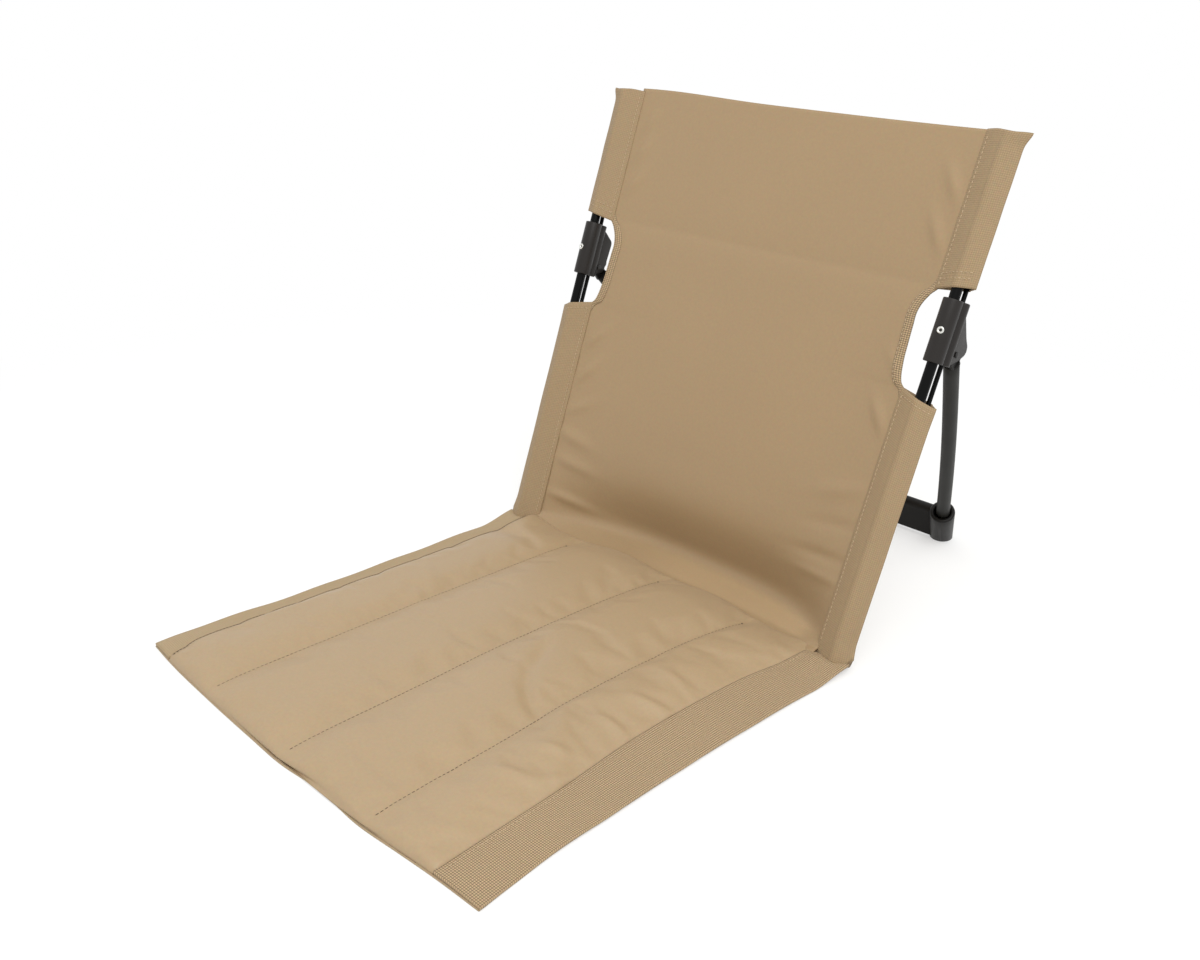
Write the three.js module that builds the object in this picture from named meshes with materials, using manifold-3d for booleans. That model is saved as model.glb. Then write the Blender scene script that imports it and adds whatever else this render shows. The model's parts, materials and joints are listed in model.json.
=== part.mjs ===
// A folding floor chair. A quilted seat lies flat on the floor, a cloth back is stretched between
// two side frames, and a frame of two converging legs swings out behind to prop the back up.
// Millimetres. +X is to the right as seen from the front, +Y to the rear and +Z up.
import * as THREE from 'three';
import { mergeVertices } from 'three/addons/utils/BufferGeometryUtils.js';
import Module from 'manifold-3d';

const wasm = await Module();
wasm.setup();

const { degToRad } = THREE.MathUtils;

// Whole chair
const seatWidth = 420;
const sideBandWidth = 38;
const seatDepth = 398;
const backLength = 435;
const backAngle = degToRad(70.4);
const creaseHeight = 12;
const touchGap = 0.3;
const cutOverrun = 5;
const clothThickness = 1.2;
const probeShare = 0.002;
const roundSides = 24;
const smallSides = 12;
const pinSides = 16;

// Colours
const clothColour = 0xb59a78;
const bandColour = 0xb39b7b;
const foamColour = 0x6d6a66;
const steelColour = 0x15140f;
const legColour = 0x3c3b38;
const plasticColour = 0x2f2d2a;
const rivetColour = 0xc6c6c0;

// A closed mesh as a solid that can be joined and cut
function toSolid(geometry) {
  const bare = geometry.clone();
  bare.deleteAttribute('normal');
  bare.deleteAttribute('uv');
  const merged = mergeVertices(bare);
  const vertProperties = merged.attributes.position.array;
  const triVerts = new Uint32Array(merged.index.array);
  return new wasm.Manifold(new wasm.Mesh({ numProp: 3, vertProperties, triVerts }));
}

// A solid back as a mesh
function toGeometry(solid) {
  const mesh = solid.getMesh();
  const geometry = new THREE.BufferGeometry();
  geometry.setAttribute('position', new THREE.BufferAttribute(mesh.vertProperties, 3));
  geometry.setIndex(new THREE.BufferAttribute(mesh.triVerts, 1));
  return geometry;
}

function joined(...geometries) {
  return toGeometry(geometries.map(toSolid).reduce((whole, piece) => whole.add(piece)));
}

function cut(geometry, ...cutters) {
  const whole = toSolid(geometry);
  return toGeometry(cutters.map(toSolid).reduce((rest, cutter) => rest.subtract(cutter), whole));
}

// The same piece for the other side of the chair, with its faces still pointing out
function mirrored(geometry) {
  const copy = geometry.index ? geometry.toNonIndexed() : geometry.clone();
  copy.deleteAttribute('normal');
  copy.deleteAttribute('uv');
  const places = copy.attributes.position;
  const corner = new THREE.Vector3();
  for (let first = 0; first < places.count; first += 3) {
    const corners = [first, first + 2, first + 1].map((i) => corner.fromBufferAttribute(places, i).toArray());
    corners.forEach(([x, y, z], i) => places.setXYZ(first + i, -x, y, z));
  }
  return copy;
}

function material(color, roughness, metalness = 0) {
  return new THREE.MeshStandardMaterial({ color, roughness, metalness });
}

function addMesh(group, name, geometry, look) {
  const mesh = new THREE.Mesh(geometry, look);
  mesh.name = name;
  group.add(mesh);
}

// A right-hand piece and its mirror image on the left
function addPair(group, name, geometry, makeLook) {
  addMesh(group, `${name}_right`, geometry, makeLook());
  addMesh(group, `${name}_left`, mirrored(geometry), makeLook());
}

// A bar or tube of round section that stands on its own z axis, from one height to another
function round(radius, from, to, endRadius = radius, sides = roundSides) {
  const geometry = new THREE.CylinderGeometry(endRadius, radius, to - from, sides);
  geometry.rotateX(Math.PI / 2);
  geometry.translate(0, 0, (from + to) / 2);
  return geometry;
}

function pipe(outer, inner, from, to, sides = roundSides) {
  const profile = [[inner, from], [outer, from], [outer, to], [inner, to], [inner, from]];
  const geometry = new THREE.LatheGeometry(profile.map(([r, z]) => new THREE.Vector2(r, z)), sides);
  geometry.rotateX(Math.PI / 2);
  return geometry;
}

// A box between two corners
function block([x0, y0, z0], [x1, y1, z1]) {
  const geometry = new THREE.BoxGeometry(x1 - x0, y1 - y0, z1 - z0);
  geometry.translate((x0 + x1) / 2, (y0 + y1) / 2, (z0 + z1) / 2);
  return geometry;
}

// A flat outline given in y and z, as a plate from one x to another
function plateAcross(outline, from, to) {
  const settings = { depth: to - from, bevelEnabled: false, curveSegments: 6 };
  const geometry = new THREE.ExtrudeGeometry(outline, settings);
  const turn = new THREE.Matrix4().makeBasis(
    new THREE.Vector3(0, 1, 0),
    new THREE.Vector3(0, 0, 1),
    new THREE.Vector3(1, 0, 0),
  );
  geometry.applyMatrix4(turn);
  geometry.translate(from, 0, 0);
  return geometry;
}

// Sheets and pads: a grid of points on an upper and a lower face, closed round its rim
function slab(across, along, upperAt, lowerAt) {
  const points = [];
  const faces = [];
  const count = across.length * along.length;
  for (const pointAt of [upperAt, lowerAt]) {
    for (const v of along) {
      for (const u of across) {
        points.push(...pointAt(u, v).toArray());
      }
    }
  }
  const at = (i, j) => j * across.length + i;
  for (let j = 0; j + 1 < along.length; j += 1) {
    for (let i = 0; i + 1 < across.length; i += 1) {
      const [a, b, c, d] = [at(i, j), at(i + 1, j), at(i + 1, j + 1), at(i, j + 1)];
      faces.push(a, b, c, a, c, d);
      faces.push(count + a, count + c, count + b, count + a, count + d, count + c);
    }
  }
  const rim = [];
  for (let i = 0; i + 1 < across.length; i += 1) rim.push(at(i, 0));
  for (let j = 0; j + 1 < along.length; j += 1) rim.push(at(across.length - 1, j));
  for (let i = across.length - 1; i > 0; i -= 1) rim.push(at(i, along.length - 1));
  for (let j = along.length - 1; j > 0; j -= 1) rim.push(at(0, j));
  rim.forEach((a, k) => {
    const b = rim[(k + 1) % rim.length];
    faces.push(a, count + a, count + b, a, count + b, b);
  });
  const geometry = new THREE.BufferGeometry();
  geometry.setAttribute('position', new THREE.Float32BufferAttribute(points, 3));
  geometry.setIndex(faces);
  return geometry;
}

// Cloth of even thickness to either side of a surface, moved off it towards its upper face
function cloth(across, along, thickness, offset, surfaceAt) {
  const faceAt = (distance) => (u, v) => {
    const place = surfaceAt(u, v);
    const rightward = surfaceAt(u + probeShare, v).sub(surfaceAt(u - probeShare, v));
    const forward = surfaceAt(u, v + probeShare).sub(surfaceAt(u, v - probeShare));
    const normal = rightward.cross(forward).normalize();
    return place.addScaledVector(normal, distance);
  };
  return slab(across, along, faceAt(offset + thickness / 2), faceAt(offset - thickness / 2));
}

function evenShares(count) {
  return Array.from({ length: count + 1 }, (_, i) => i / count);
}

// The corner points of a band pulled tight round some circles, anticlockwise
function tautOutline(circles, extra = 0, sides = pinSides) {
  const points = circles.flatMap(({ x, y, r }) => evenShares(sides).slice(1).map((share) => {
    const angle = share * 2 * Math.PI;
    return new THREE.Vector2(x + (r + extra) * Math.cos(angle), y + (r + extra) * Math.sin(angle));
  }));
  points.sort((p, q) => p.x - q.x || p.y - q.y);
  const turn = (o, p, q) => (p.x - o.x) * (q.y - o.y) - (p.y - o.y) * (q.x - o.x);
  const chain = (ordered) => {
    const kept = [];
    for (const point of ordered) {
      while (kept.length > 1 && turn(kept.at(-2), kept.at(-1), point) <= 0) kept.pop();
      kept.push(point);
    }
    return kept.slice(0, -1);
  };
  return [...chain(points), ...chain([...points].reverse())];
}

// Seat
// The seat ends just ahead of the crease, at the line that it turns about when it folds up.
const hingeForward = 5;
const padHalfWidth = seatWidth / 2 - sideBandWidth;
const foamThickness = 8;
const bandThickness = 2.4;
const padEndTaper = 26;
const foamEndMargin = 12;
const stitchShares = [-1, -0.64, 0, 0.593, 1];
const channelRoundness = 0.55;
const channelSteps = 6;
const padMiddleSteps = 6;
const seatFront = -seatDepth;
const seatRear = -hingeForward - touchGap;
const padBase = clothThickness + touchGap;

const seat = new THREE.Group();

addMesh(
  seat,
  'seat_base_cloth',
  block([-seatWidth / 2, seatFront, 0], [seatWidth / 2, seatRear, clothThickness]),
  material(clothColour, 0.85),
);

// How far the padding swells between two stitch lines, and how it thins towards the two ends
function swell(share) {
  return Math.sin(Math.PI * share) ** channelRoundness;
}

function endTaper(y) {
  const fromEnd = Math.min(y - seatFront, seatRear - y, padEndTaper);
  return Math.sin((Math.max(fromEnd, 0) / padEndTaper) * (Math.PI / 2)) ** channelRoundness;
}

function channelAt(x) {
  const share = x / padHalfWidth;
  const next = stitchShares.findIndex((stitch, i) => i > 0 && share <= stitch);
  const last = next < 0 ? stitchShares.length - 1 : next;
  const [from, to] = [stitchShares[last - 1], stitchShares[last]];
  return THREE.MathUtils.clamp((share - from) / (to - from), 0, 1);
}

function padLift(x, y) {
  return (foamThickness + touchGap) * swell(channelAt(x)) * endTaper(y);
}

const channelShares = evenShares(channelSteps);
const quiltColumns = stitchShares.slice(1).flatMap((to, i) => {
  const from = stitchShares[i];
  return channelShares.slice(i === 0 ? 0 : 1).map((share) => (from + (to - from) * share) * padHalfWidth);
});
const taperShares = [0, 0.08, 0.25, 0.55, 1];
const quiltRows = [
  ...taperShares.map((share) => seatFront + share * padEndTaper),
  ...evenShares(padMiddleSteps).slice(1, -1).map((share) => THREE.MathUtils.lerp(seatFront, seatRear, share)),
  ...taperShares.toReversed().map((share) => seatRear - share * padEndTaper),
];

addMesh(
  seat,
  'seat_top_cloth',
  slab(
    quiltColumns,
    quiltRows,
    (x, y) => new THREE.Vector3(x, y, padBase + padLift(x, y) + clothThickness),
    (x, y) => new THREE.Vector3(x, y, padBase + padLift(x, y)),
  ),
  material(clothColour, 0.8),
);

// Each foam strip fills its channel up to a small gap under the cloth.
stitchShares.slice(1).forEach((to, i) => {
  const from = stitchShares[i];
  const columns = channelShares.slice(1, -1).map((share) => (from + (to - from) * share) * padHalfWidth);
  const rows = quiltRows.filter((y) => y > seatFront + foamEndMargin && y < seatRear - foamEndMargin);
  addMesh(
    seat,
    `foam_strip_${i + 1}`,
    slab(
      columns,
      rows,
      (x, y) => new THREE.Vector3(x, y, padBase + padLift(x, y) - touchGap),
      (x, y) => new THREE.Vector3(x, y, padBase),
    ),
    material(foamColour, 0.95),
  );
});

addPair(
  seat,
  'seat_band',
  block(
    [padHalfWidth + touchGap, seatFront, padBase],
    [seatWidth / 2, seatRear, padBase + bandThickness],
  ),
  () => material(bandColour, 0.9),
);

// Side frames of the back
// Their own frame leans with the back: y runs square to the back, to the rear, and z runs up it.
const railRadius = 4.5;
const railWall = 1;
const rodRadius = 2;
const railForward = 4;
const rodBehind = 8;
const rodOutboard = 2;
const railInset = 10;
const railHalfSpacing = seatWidth / 2 - railInset;
const blockMiddle = 275;
const splay = degToRad(1.3);
const capHeight = 8;
const topMargin = 6;
const railTop = backLength - topMargin - capHeight;
const capReach = 8.5;
const plugLength = 12;
const runningGap = 0.3;

const back = new THREE.Group();
back.position.z = creaseHeight;
back.rotation.x = backAngle - Math.PI / 2;

// Places a piece drawn round a rail's own axis, which leans outward as it rises
function onRail(geometry) {
  const placed = geometry.clone();
  placed.rotateY(splay);
  placed.translate(railHalfSpacing - blockMiddle * Math.tan(splay), -railForward, 0);
  return placed;
}

const rodPlace = [rodOutboard, railForward + rodBehind];
const rodCircle = { x: rodPlace[0], y: rodPlace[1], r: rodRadius };
const railCircle = { x: 0, y: 0, r: railRadius };

// The eyelet sits on the front of the hinge block, turned a little outward, and enters the rail.
const eyeletTurn = degToRad(15);
const eyeletRadius = 3.1;
const eyeletShank = 1.6;
const eyeletRim = 0.9;
const eyeletLipShare = 0.8;
const eyeletDimple = 1.3;

// Turns a piece drawn along z so that its z points out of the block's front, at the eyelet
function atEyelet(geometry) {
  const placed = geometry.clone();
  placed.rotateX(Math.PI / 2);
  placed.rotateZ(eyeletTurn);
  placed.translate(0, 0, blockMiddle);
  return placed;
}

const railBore = railRadius - railWall;
const frontBarrel = 7.75;
const rearBarrel = 6.25;
const shankRoom = eyeletShank + runningGap;
addPair(
  back,
  'main_rail',
  onRail(cut(
    pipe(railRadius, railBore, 0, railTop),
    atEyelet(round(shankRoom, 0, railRadius + cutOverrun, shankRoom, smallSides)),
  )),
  () => material(steelColour, 0.25, 0.5),
);
addPair(
  back,
  'rear_rod',
  onRail(round(rodRadius, 0, railTop, rodRadius, smallSides).translate(...rodPlace, 0)),
  () => material(steelColour, 0.3, 0.5),
);

// An end cap bridges the rail and the rod and is plugged into the rail.
function endCap(from, to, plugTo) {
  const outline = new THREE.Shape(tautOutline([railCircle, rodCircle]));
  const cap = new THREE.ExtrudeGeometry(outline, { depth: to - from, bevelEnabled: false });
  cap.translate(0, 0, from);
  const plugRadius = railBore - touchGap;
  const plug = round(plugRadius, Math.min(from, plugTo), Math.max(to, plugTo), plugRadius, pinSides);
  return joined(cap, plug);
}
addPair(
  back,
  'rail_top_cap',
  onRail(endCap(railTop + touchGap, railTop + capHeight, railTop - plugLength)),
  () => material(plasticColour, 0.7),
);
addPair(
  back,
  'rail_foot_cap',
  onRail(endCap(-capReach, -touchGap, plugLength)),
  () => material(plasticColour, 0.7),
);

// Hinge blocks: two barrels round the rail and the rod, with two ears behind that carry the leg.
const blockHalfLength = 26;
const barrelWaist = 4.4;
const pivotBehind = 17.5;
const pivotDrop = 15;
const pivotUp = blockMiddle - pivotDrop;
const earOutboard = 2.7;
const earMiddle = railHalfSpacing + earOutboard;
const earWidth = 7.4;
const tongueThickness = 3;
const tongueRadius = 6.2;
const pinRadius = 2;
const pinHeadRadius = 2.6;
const pinHeadHeight = 1.1;
const earRear = 30;
const earFootBehind = 20;
const earTopRise = 19;
const earShoulderRise = 6;
const earLobeDrop = 5;
const earHeelDrop = 14;
const earFootDrop = 21;
const earSlope = 3;
const earEase = 2;
const earTopUp = blockMiddle + earTopRise;
const earShoulderUp = blockMiddle + earShoulderRise;
const earLobeUp = blockMiddle - earLobeDrop;
const earHeelUp = blockMiddle - earHeelDrop;
const earFootUp = blockMiddle - earFootDrop;
const blockBottom = blockMiddle - blockHalfLength;
const blockTop = blockMiddle + blockHalfLength;

const earRoot = rodBehind;
const ear = new THREE.Shape();
ear.moveTo(earRoot, blockBottom);
ear.lineTo(earFootBehind - touchGap, blockBottom + earSlope);
ear.quadraticCurveTo(earFootBehind + earSlope, earFootUp, earRear - earEase, earHeelUp);
ear.quadraticCurveTo(earRear + earEase / 2, (earHeelUp + earLobeUp) / 2, earRear, earLobeUp);
ear.quadraticCurveTo(
  earRear - earEase / 2,
  (earLobeUp + earShoulderUp) / 2,
  earRear - earSlope,
  earShoulderUp,
);
ear.lineTo(earRoot + rearBarrel, earTopUp - touchGap);
ear.lineTo(earRoot, earTopUp);
ear.closePath();

function alongPin(geometry, from) {
  const placed = geometry.clone();
  placed.rotateY(Math.PI / 2);
  placed.translate(from, pivotBehind, pivotUp);
  return placed;
}

const barrels = onRail(joined(
  round(frontBarrel, blockBottom, blockTop),
  round(rearBarrel, blockBottom, blockTop - touchGap).translate(...rodPlace, 0),
  block(
    [-barrelWaist, 0, blockBottom + touchGap],
    [barrelWaist + rodOutboard, rodPlace[1], blockTop - touchGap],
  ),
));
const ears = plateAcross(ear, earMiddle - earWidth / 2, earMiddle + earWidth / 2);
const tongueSlot = block(
  [
    earMiddle - tongueThickness / 2 - runningGap,
    pivotBehind - tongueRadius - 2 * runningGap,
    blockBottom - cutOverrun,
  ],
  [
    earMiddle + tongueThickness / 2 + runningGap,
    earRear + cutOverrun,
    earTopUp - rearBarrel,
  ],
);
const railRoom = railRadius + runningGap;
const rodRoom = rodRadius + runningGap;
const pinRoom = pinRadius + runningGap;
const [cutFrom, cutTo] = [blockBottom - cutOverrun, blockTop + cutOverrun];
addPair(
  back,
  'hinge_block',
  cut(
    joined(barrels, ears),
    onRail(round(railRoom, cutFrom, cutTo)),
    onRail(round(rodRoom, cutFrom, cutTo, rodRoom, smallSides).translate(...rodPlace, 0)),
    tongueSlot,
    alongPin(round(pinRoom, -earWidth, earWidth, pinRoom, pinSides), earMiddle),
    onRail(atEyelet(round(shankRoom, 0, frontBarrel + cutOverrun, shankRoom, smallSides))),
  ),
  () => material(plasticColour, 0.6),
);

// The eyelet: a round head with a dimple, and a shank through the block into the rail
const headBase = frontBarrel + touchGap;
const eyelet = new THREE.LatheGeometry([
  new THREE.Vector2(0, railBore - eyeletShank),
  new THREE.Vector2(eyeletShank, railBore - eyeletShank),
  new THREE.Vector2(eyeletShank, headBase),
  new THREE.Vector2(eyeletRadius, headBase),
  new THREE.Vector2(eyeletRadius, headBase + eyeletRim / 2),
  new THREE.Vector2((eyeletRadius + eyeletDimple) / 2, headBase + eyeletRim),
  new THREE.Vector2(eyeletDimple, headBase + eyeletRim * eyeletLipShare),
  new THREE.Vector2(0, headBase + eyeletRim / 3),
], pinSides);
eyelet.rotateX(Math.PI / 2);
addPair(back, 'block_eyelet', onRail(atEyelet(eyelet)), () => material(rivetColour, 0.3, 0.9));

// Pivot pins, headed on both sides of the ears
const pinReach = earWidth / 2 + touchGap;
const pin = joined(
  round(pinRadius, -pinReach - pinHeadHeight / 2, pinReach + pinHeadHeight / 2, pinRadius, pinSides),
  round(pinHeadRadius, pinReach, pinReach + pinHeadHeight, pinHeadRadius, pinSides),
  round(pinHeadRadius, -pinReach - pinHeadHeight, -pinReach, pinHeadRadius, pinSides),
);
addPair(back, 'pivot_pin', alongPin(pin, earMiddle), () => material(steelColour, 0.4, 0.6));

// Back cloth
// The middle sags behind the plane of the rails, most of all near the floor, and its sides
// follow the seams of the sleeves. Shares are of the sag's depth and of the back's length.
const sagDepth = 47;
const seamInboard = 19;
const seamRadius = 0.4;
const sleeveOutboard = 14.2;
const notchDepth = 8.5;
const notchBelow = 53;
const notchAbove = 33;
const notchLean = 1.3;
const notchRoundness = 0.7;
const notchBottom = blockMiddle - notchBelow;
const notchTop = blockMiddle + notchAbove;
const hemWidth = 9;
const hemThickness = 0.9;
const sagSharpness = 4;
const middleShares = [
  [-0.07, -0.012], [0.3, -0.008], [0.7, 0.004], [0.94, 0.02], [1, 0.044], [0.89, 0.078],
  [0.69, 0.119], [0.44, 0.171], [0.21, 0.229], [0.19, 0.345], [0.19, 0.46], [0.17, 0.6],
  [0.13, 0.74], [0.09, 0.88], [0.06, 1],
];
const edgeUpShares = [
  -0.012, -0.006, 0, 0.008, 0.022, 0.042, 0.075, 0.13, 0.21, 0.335, 0.455, 0.6, 0.74, 0.88, 1,
];
const middleLine = new THREE.CatmullRomCurve3(
  middleShares.map(([behind, up]) => new THREE.Vector3(0, behind * sagDepth, up * backLength)),
);
const edgeLine = new THREE.CatmullRomCurve3(edgeUpShares.map((up, i) => {
  const behind = i === 0 ? middleShares[0][0] * sagDepth : 0;
  return new THREE.Vector3(0, behind, up * backLength);
}));

// Half the width of the cloth between the seams at a height up the back, less inside the notches
function clothHalfWidth(up) {
  const seam = railHalfSpacing + (up - blockMiddle) * Math.tan(splay) - seamInboard;
  const share = THREE.MathUtils.clamp((up - notchBottom) / (notchTop - notchBottom), 0, 1);
  const notch = notchDepth * Math.sin(Math.PI * share ** notchLean) ** notchRoundness;
  return seam - seamRadius - clothThickness - touchGap - notch;
}

function backSurface(u, v) {
  const along = THREE.MathUtils.clamp(v, 0, 1);
  const side = 2 * u - 1;
  const middle = middleLine.getPoint(along);
  const edge = edgeLine.getPoint(along);
  const sag = 1 - Math.min(Math.abs(side), 1) ** sagSharpness;
  const place = edge.lerp(middle, sag);
  place.x = side * clothHalfWidth(place.z);
  return place;
}

// Rows are closest where the cloth turns up from the floor.
const turnUpShare = 0.56;
const turnUpSteps = 14;
const straightSteps = 12;
const notchSteps = 10;
const backRows = [
  ...evenShares(turnUpSteps).map((share) => share * turnUpShare),
  ...evenShares(straightSteps).slice(1).map((share) => THREE.MathUtils.lerp(turnUpShare, 1, share)),
];
const backColumnShares = [
  0, 0.025, 0.06, 0.11, 0.18, 0.28, 0.39, 0.5, 0.61, 0.72, 0.82, 0.89, 0.94, 0.975, 1,
];
addMesh(
  back,
  'back_panel',
  cloth(backColumnShares, backRows, clothThickness, 0, backSurface),
  material(clothColour, 0.8),
);

// The share along the cloth at which its edge reaches a height up the back
function shareAt(up) {
  let [low, high] = [0, 1];
  while (high - low > probeShare / 8) {
    const middle = (low + high) / 2;
    if (edgeLine.getPoint(middle).z < up) low = middle;
    else high = middle;
  }
  return high;
}

// Hems are folded behind the cloth, one across the top and one round each notch.
const hemOffset = -(clothThickness + hemThickness) / 2 - touchGap;
const topHemRows = [shareAt(backLength - hemWidth), 1 - probeShare];
addMesh(
  back,
  'top_hem',
  cloth(backColumnShares.slice(1, -1), topHemRows, hemThickness, hemOffset, backSurface),
  material(clothColour, 0.85),
);
const notchRows = evenShares(notchSteps).map((share) => {
  return THREE.MathUtils.lerp(shareAt(notchBottom + touchGap), shareAt(notchTop - touchGap), share);
});
const notchHemShare = hemWidth / (2 * railHalfSpacing);
const notchHemColumns = [1 - notchHemShare, 1 - notchHemShare / 2, 1 - probeShare];
addPair(
  back,
  'notch_hem',
  cloth(notchHemColumns, notchRows, hemThickness, hemOffset, backSurface),
  () => material(clothColour, 0.85),
);

// Sleeves: cloth pulled tight round the rail and the rod, from the seam to a flat outer edge
const sleeveCircles = [
  { ...railCircle, r: railRadius + touchGap },
  { ...rodCircle, r: rodRadius + touchGap },
  { x: -seamInboard, y: railForward, r: seamRadius },
  { x: sleeveOutboard, y: railForward, r: seamRadius },
];
const sleeveMargin = 2;
const lowerSleeveTop = notchBottom - sleeveMargin;
const upperSleeveBottom = notchTop + sleeveMargin;

function sleeve(from, to) {
  const outline = new THREE.Shape(tautOutline(sleeveCircles, clothThickness));
  outline.holes.push(new THREE.Path(tautOutline(sleeveCircles)));
  const geometry = new THREE.ExtrudeGeometry(outline, { depth: to - from, bevelEnabled: false });
  return onRail(geometry.translate(0, 0, from));
}
addPair(back, 'lower_sleeve', sleeve(0, lowerSleeveTop), () => material(bandColour, 0.9));
addPair(back, 'upper_sleeve', sleeve(upperSleeveBottom, backLength), () => material(bandColour, 0.9));

// Leg frame
// Drawn from the right-hand pivot, with upright axes. Each leg leans back and inward.
const legLean = degToRad(37.4);
const legInward = degToRad(14.5);
const legRadius = 6.9;
const legWall = 1.2;
const legStart = 13;
const knuckleLength = 1.6;
const spigotLength = 18;
const socketRadius = 12.25;
const socketTaper = 1;
const socketHeight = 42;
const socketDepth = 26;
const barRadius = 5.75;
const barTopHeight = 36;
const barFloorGap = 4;
const barThickness = 8;
const barForward = 11.5;
const socketSides = 28;
const barSides = 20;

const pivotRear = pivotBehind * Math.sin(backAngle) + pivotUp * Math.cos(backAngle);
const pivotHeight = creaseHeight + pivotUp * Math.sin(backAngle) - pivotBehind * Math.cos(backAngle);
const legs = new THREE.Group();
legs.position.set(0, pivotRear, pivotHeight);

// Places a piece drawn down a leg: its z is the distance from the pivot along the leg
const legTurn = new THREE.Matrix4().makeRotationX(legLean)
  .multiply(new THREE.Matrix4().makeRotationY(-Math.PI + legInward));
function onLeg(geometry) {
  return geometry.clone().applyMatrix4(legTurn).translate(earMiddle, 0, 0);
}

const downShare = Math.cos(legInward) * Math.cos(legLean);
const legToFloor = pivotHeight / downShare;
const socketRim = (pivotHeight - socketHeight) / downShare;
const legEnd = socketRim + socketDepth - touchGap;
const legBore = legRadius - legWall;

addPair(
  legs,
  'leg_tube',
  onLeg(pipe(legRadius, legBore, legStart, legEnd)),
  () => material(legColour, 0.55, 0.3),
);

// The knuckle is plugged into the tube's top. Its flat tongue turns on the pin between the ears.
const tongueOutline = new THREE.Shape();
tongueOutline.absarc(0, 0, tongueRadius, 0, Math.PI, false);
tongueOutline.lineTo(-tongueRadius, -legStart);
tongueOutline.lineTo(tongueRadius, -legStart);
tongueOutline.closePath();
const tongue = plateAcross(tongueOutline, earMiddle - tongueThickness / 2, earMiddle + tongueThickness / 2);
tongue.rotateX(legLean);
const knuckle = cut(
  joined(
    tongue,
    onLeg(round(tongueRadius, legStart - knuckleLength, legStart - touchGap, legRadius)),
    onLeg(round(legBore - touchGap, legStart - knuckleLength, legStart + spigotLength)),
  ),
  round(pinRoom, -earWidth, earWidth, pinRoom, pinSides).rotateY(Math.PI / 2).translate(earMiddle, 0, 0),
);
addPair(legs, 'leg_knuckle', knuckle, () => material(plasticColour, 0.6));

// Foot sockets are cut flat where they stand on the floor, and a bar with a round top joins them.
const floorCutter = block(
  [-seatWidth, -seatDepth, -pivotHeight - seatDepth],
  [seatWidth, seatDepth, -pivotHeight],
);
const socketEnd = socketRadius - socketTaper;
const socket = cut(
  onLeg(round(socketRadius, socketRim, legToFloor + socketRadius, socketEnd, socketSides)),
  onLeg(round(legRadius + touchGap, socketRim - cutOverrun, socketRim + socketDepth)),
  floorCutter,
);
addPair(legs, 'foot_socket', socket, () => material(plasticColour, 0.65));

const footRear = legToFloor * Math.cos(legInward) * Math.sin(legLean);
const barRear = footRear - barForward;
const footSide = earMiddle - legToFloor * Math.sin(legInward);
const barHeight = barTopHeight - barRadius - pivotHeight;
const barEnds = footSide + socketRadius;
const barBody = joined(
  round(barRadius, -barEnds, barEnds, barRadius, barSides)
    .rotateY(Math.PI / 2)
    .translate(0, barRear, barHeight),
  block(
    [-barEnds, barRear - barThickness / 2, barFloorGap - pivotHeight],
    [barEnds, barRear + barThickness / 2, barHeight],
  ),
);
const socketRoom = onLeg(round(
  socketRadius + touchGap,
  socketRim - socketRadius,
  legToFloor + socketRadius,
  socketEnd + touchGap,
  socketSides,
));
const beyondSocket = block(
  [footSide, -seatDepth, -pivotHeight - seatDepth],
  [seatWidth, seatDepth, pivotHeight],
);
addMesh(
  legs,
  'foot_bar',
  cut(barBody, socketRoom, mirrored(socketRoom), beyondSocket, mirrored(beyondSocket)),
  material(plasticColour, 0.65),
);

// The whole chair, with its origin on the floor at the middle of its outline
const chair = new THREE.Group();
chair.name = 'folding_floor_chair';
chair.add(seat, back, legs);
chair.updateMatrixWorld(true);
const extent = new THREE.Box3().setFromObject(chair, true);
chair.position.y = -(extent.min.y + extent.max.y) / 2;

export default chair;
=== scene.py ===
import json
import math

import bmesh
import bpy
import numpy as np
from mathutils import Matrix, Vector


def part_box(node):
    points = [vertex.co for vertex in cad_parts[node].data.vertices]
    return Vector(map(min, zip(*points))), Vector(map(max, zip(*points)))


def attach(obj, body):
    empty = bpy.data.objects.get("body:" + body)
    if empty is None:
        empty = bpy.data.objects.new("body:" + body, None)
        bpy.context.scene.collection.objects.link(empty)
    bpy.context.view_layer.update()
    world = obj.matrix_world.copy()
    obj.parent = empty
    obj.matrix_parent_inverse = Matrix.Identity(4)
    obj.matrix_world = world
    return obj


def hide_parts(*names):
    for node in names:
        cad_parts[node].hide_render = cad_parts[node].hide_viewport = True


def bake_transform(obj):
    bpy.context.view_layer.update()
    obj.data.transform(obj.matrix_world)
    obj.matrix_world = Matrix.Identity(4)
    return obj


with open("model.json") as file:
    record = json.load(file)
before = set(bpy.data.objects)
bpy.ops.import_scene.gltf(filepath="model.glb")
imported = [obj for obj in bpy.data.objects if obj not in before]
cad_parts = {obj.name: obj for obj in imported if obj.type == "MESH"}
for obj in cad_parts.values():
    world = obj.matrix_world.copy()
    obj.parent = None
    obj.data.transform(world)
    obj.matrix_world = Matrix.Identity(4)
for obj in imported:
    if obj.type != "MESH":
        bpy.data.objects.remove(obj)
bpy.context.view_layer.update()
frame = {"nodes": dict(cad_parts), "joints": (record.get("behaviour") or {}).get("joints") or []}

# Camera
# It stands to the right of the chair's front at about knee height and looks down at the seat.
# Its lens and place give the photograph's angle.
def adjust(owner, **settings):
    """Gives a camera, a lamp or a modifier its settings, and hands it back."""
    for name, value in settings.items():
        setattr(owner, name, value)
    return owner


def add_object(name, data):
    thing = bpy.data.objects.new(name, data)
    bpy.context.scene.collection.objects.link(thing)
    return thing


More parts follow.
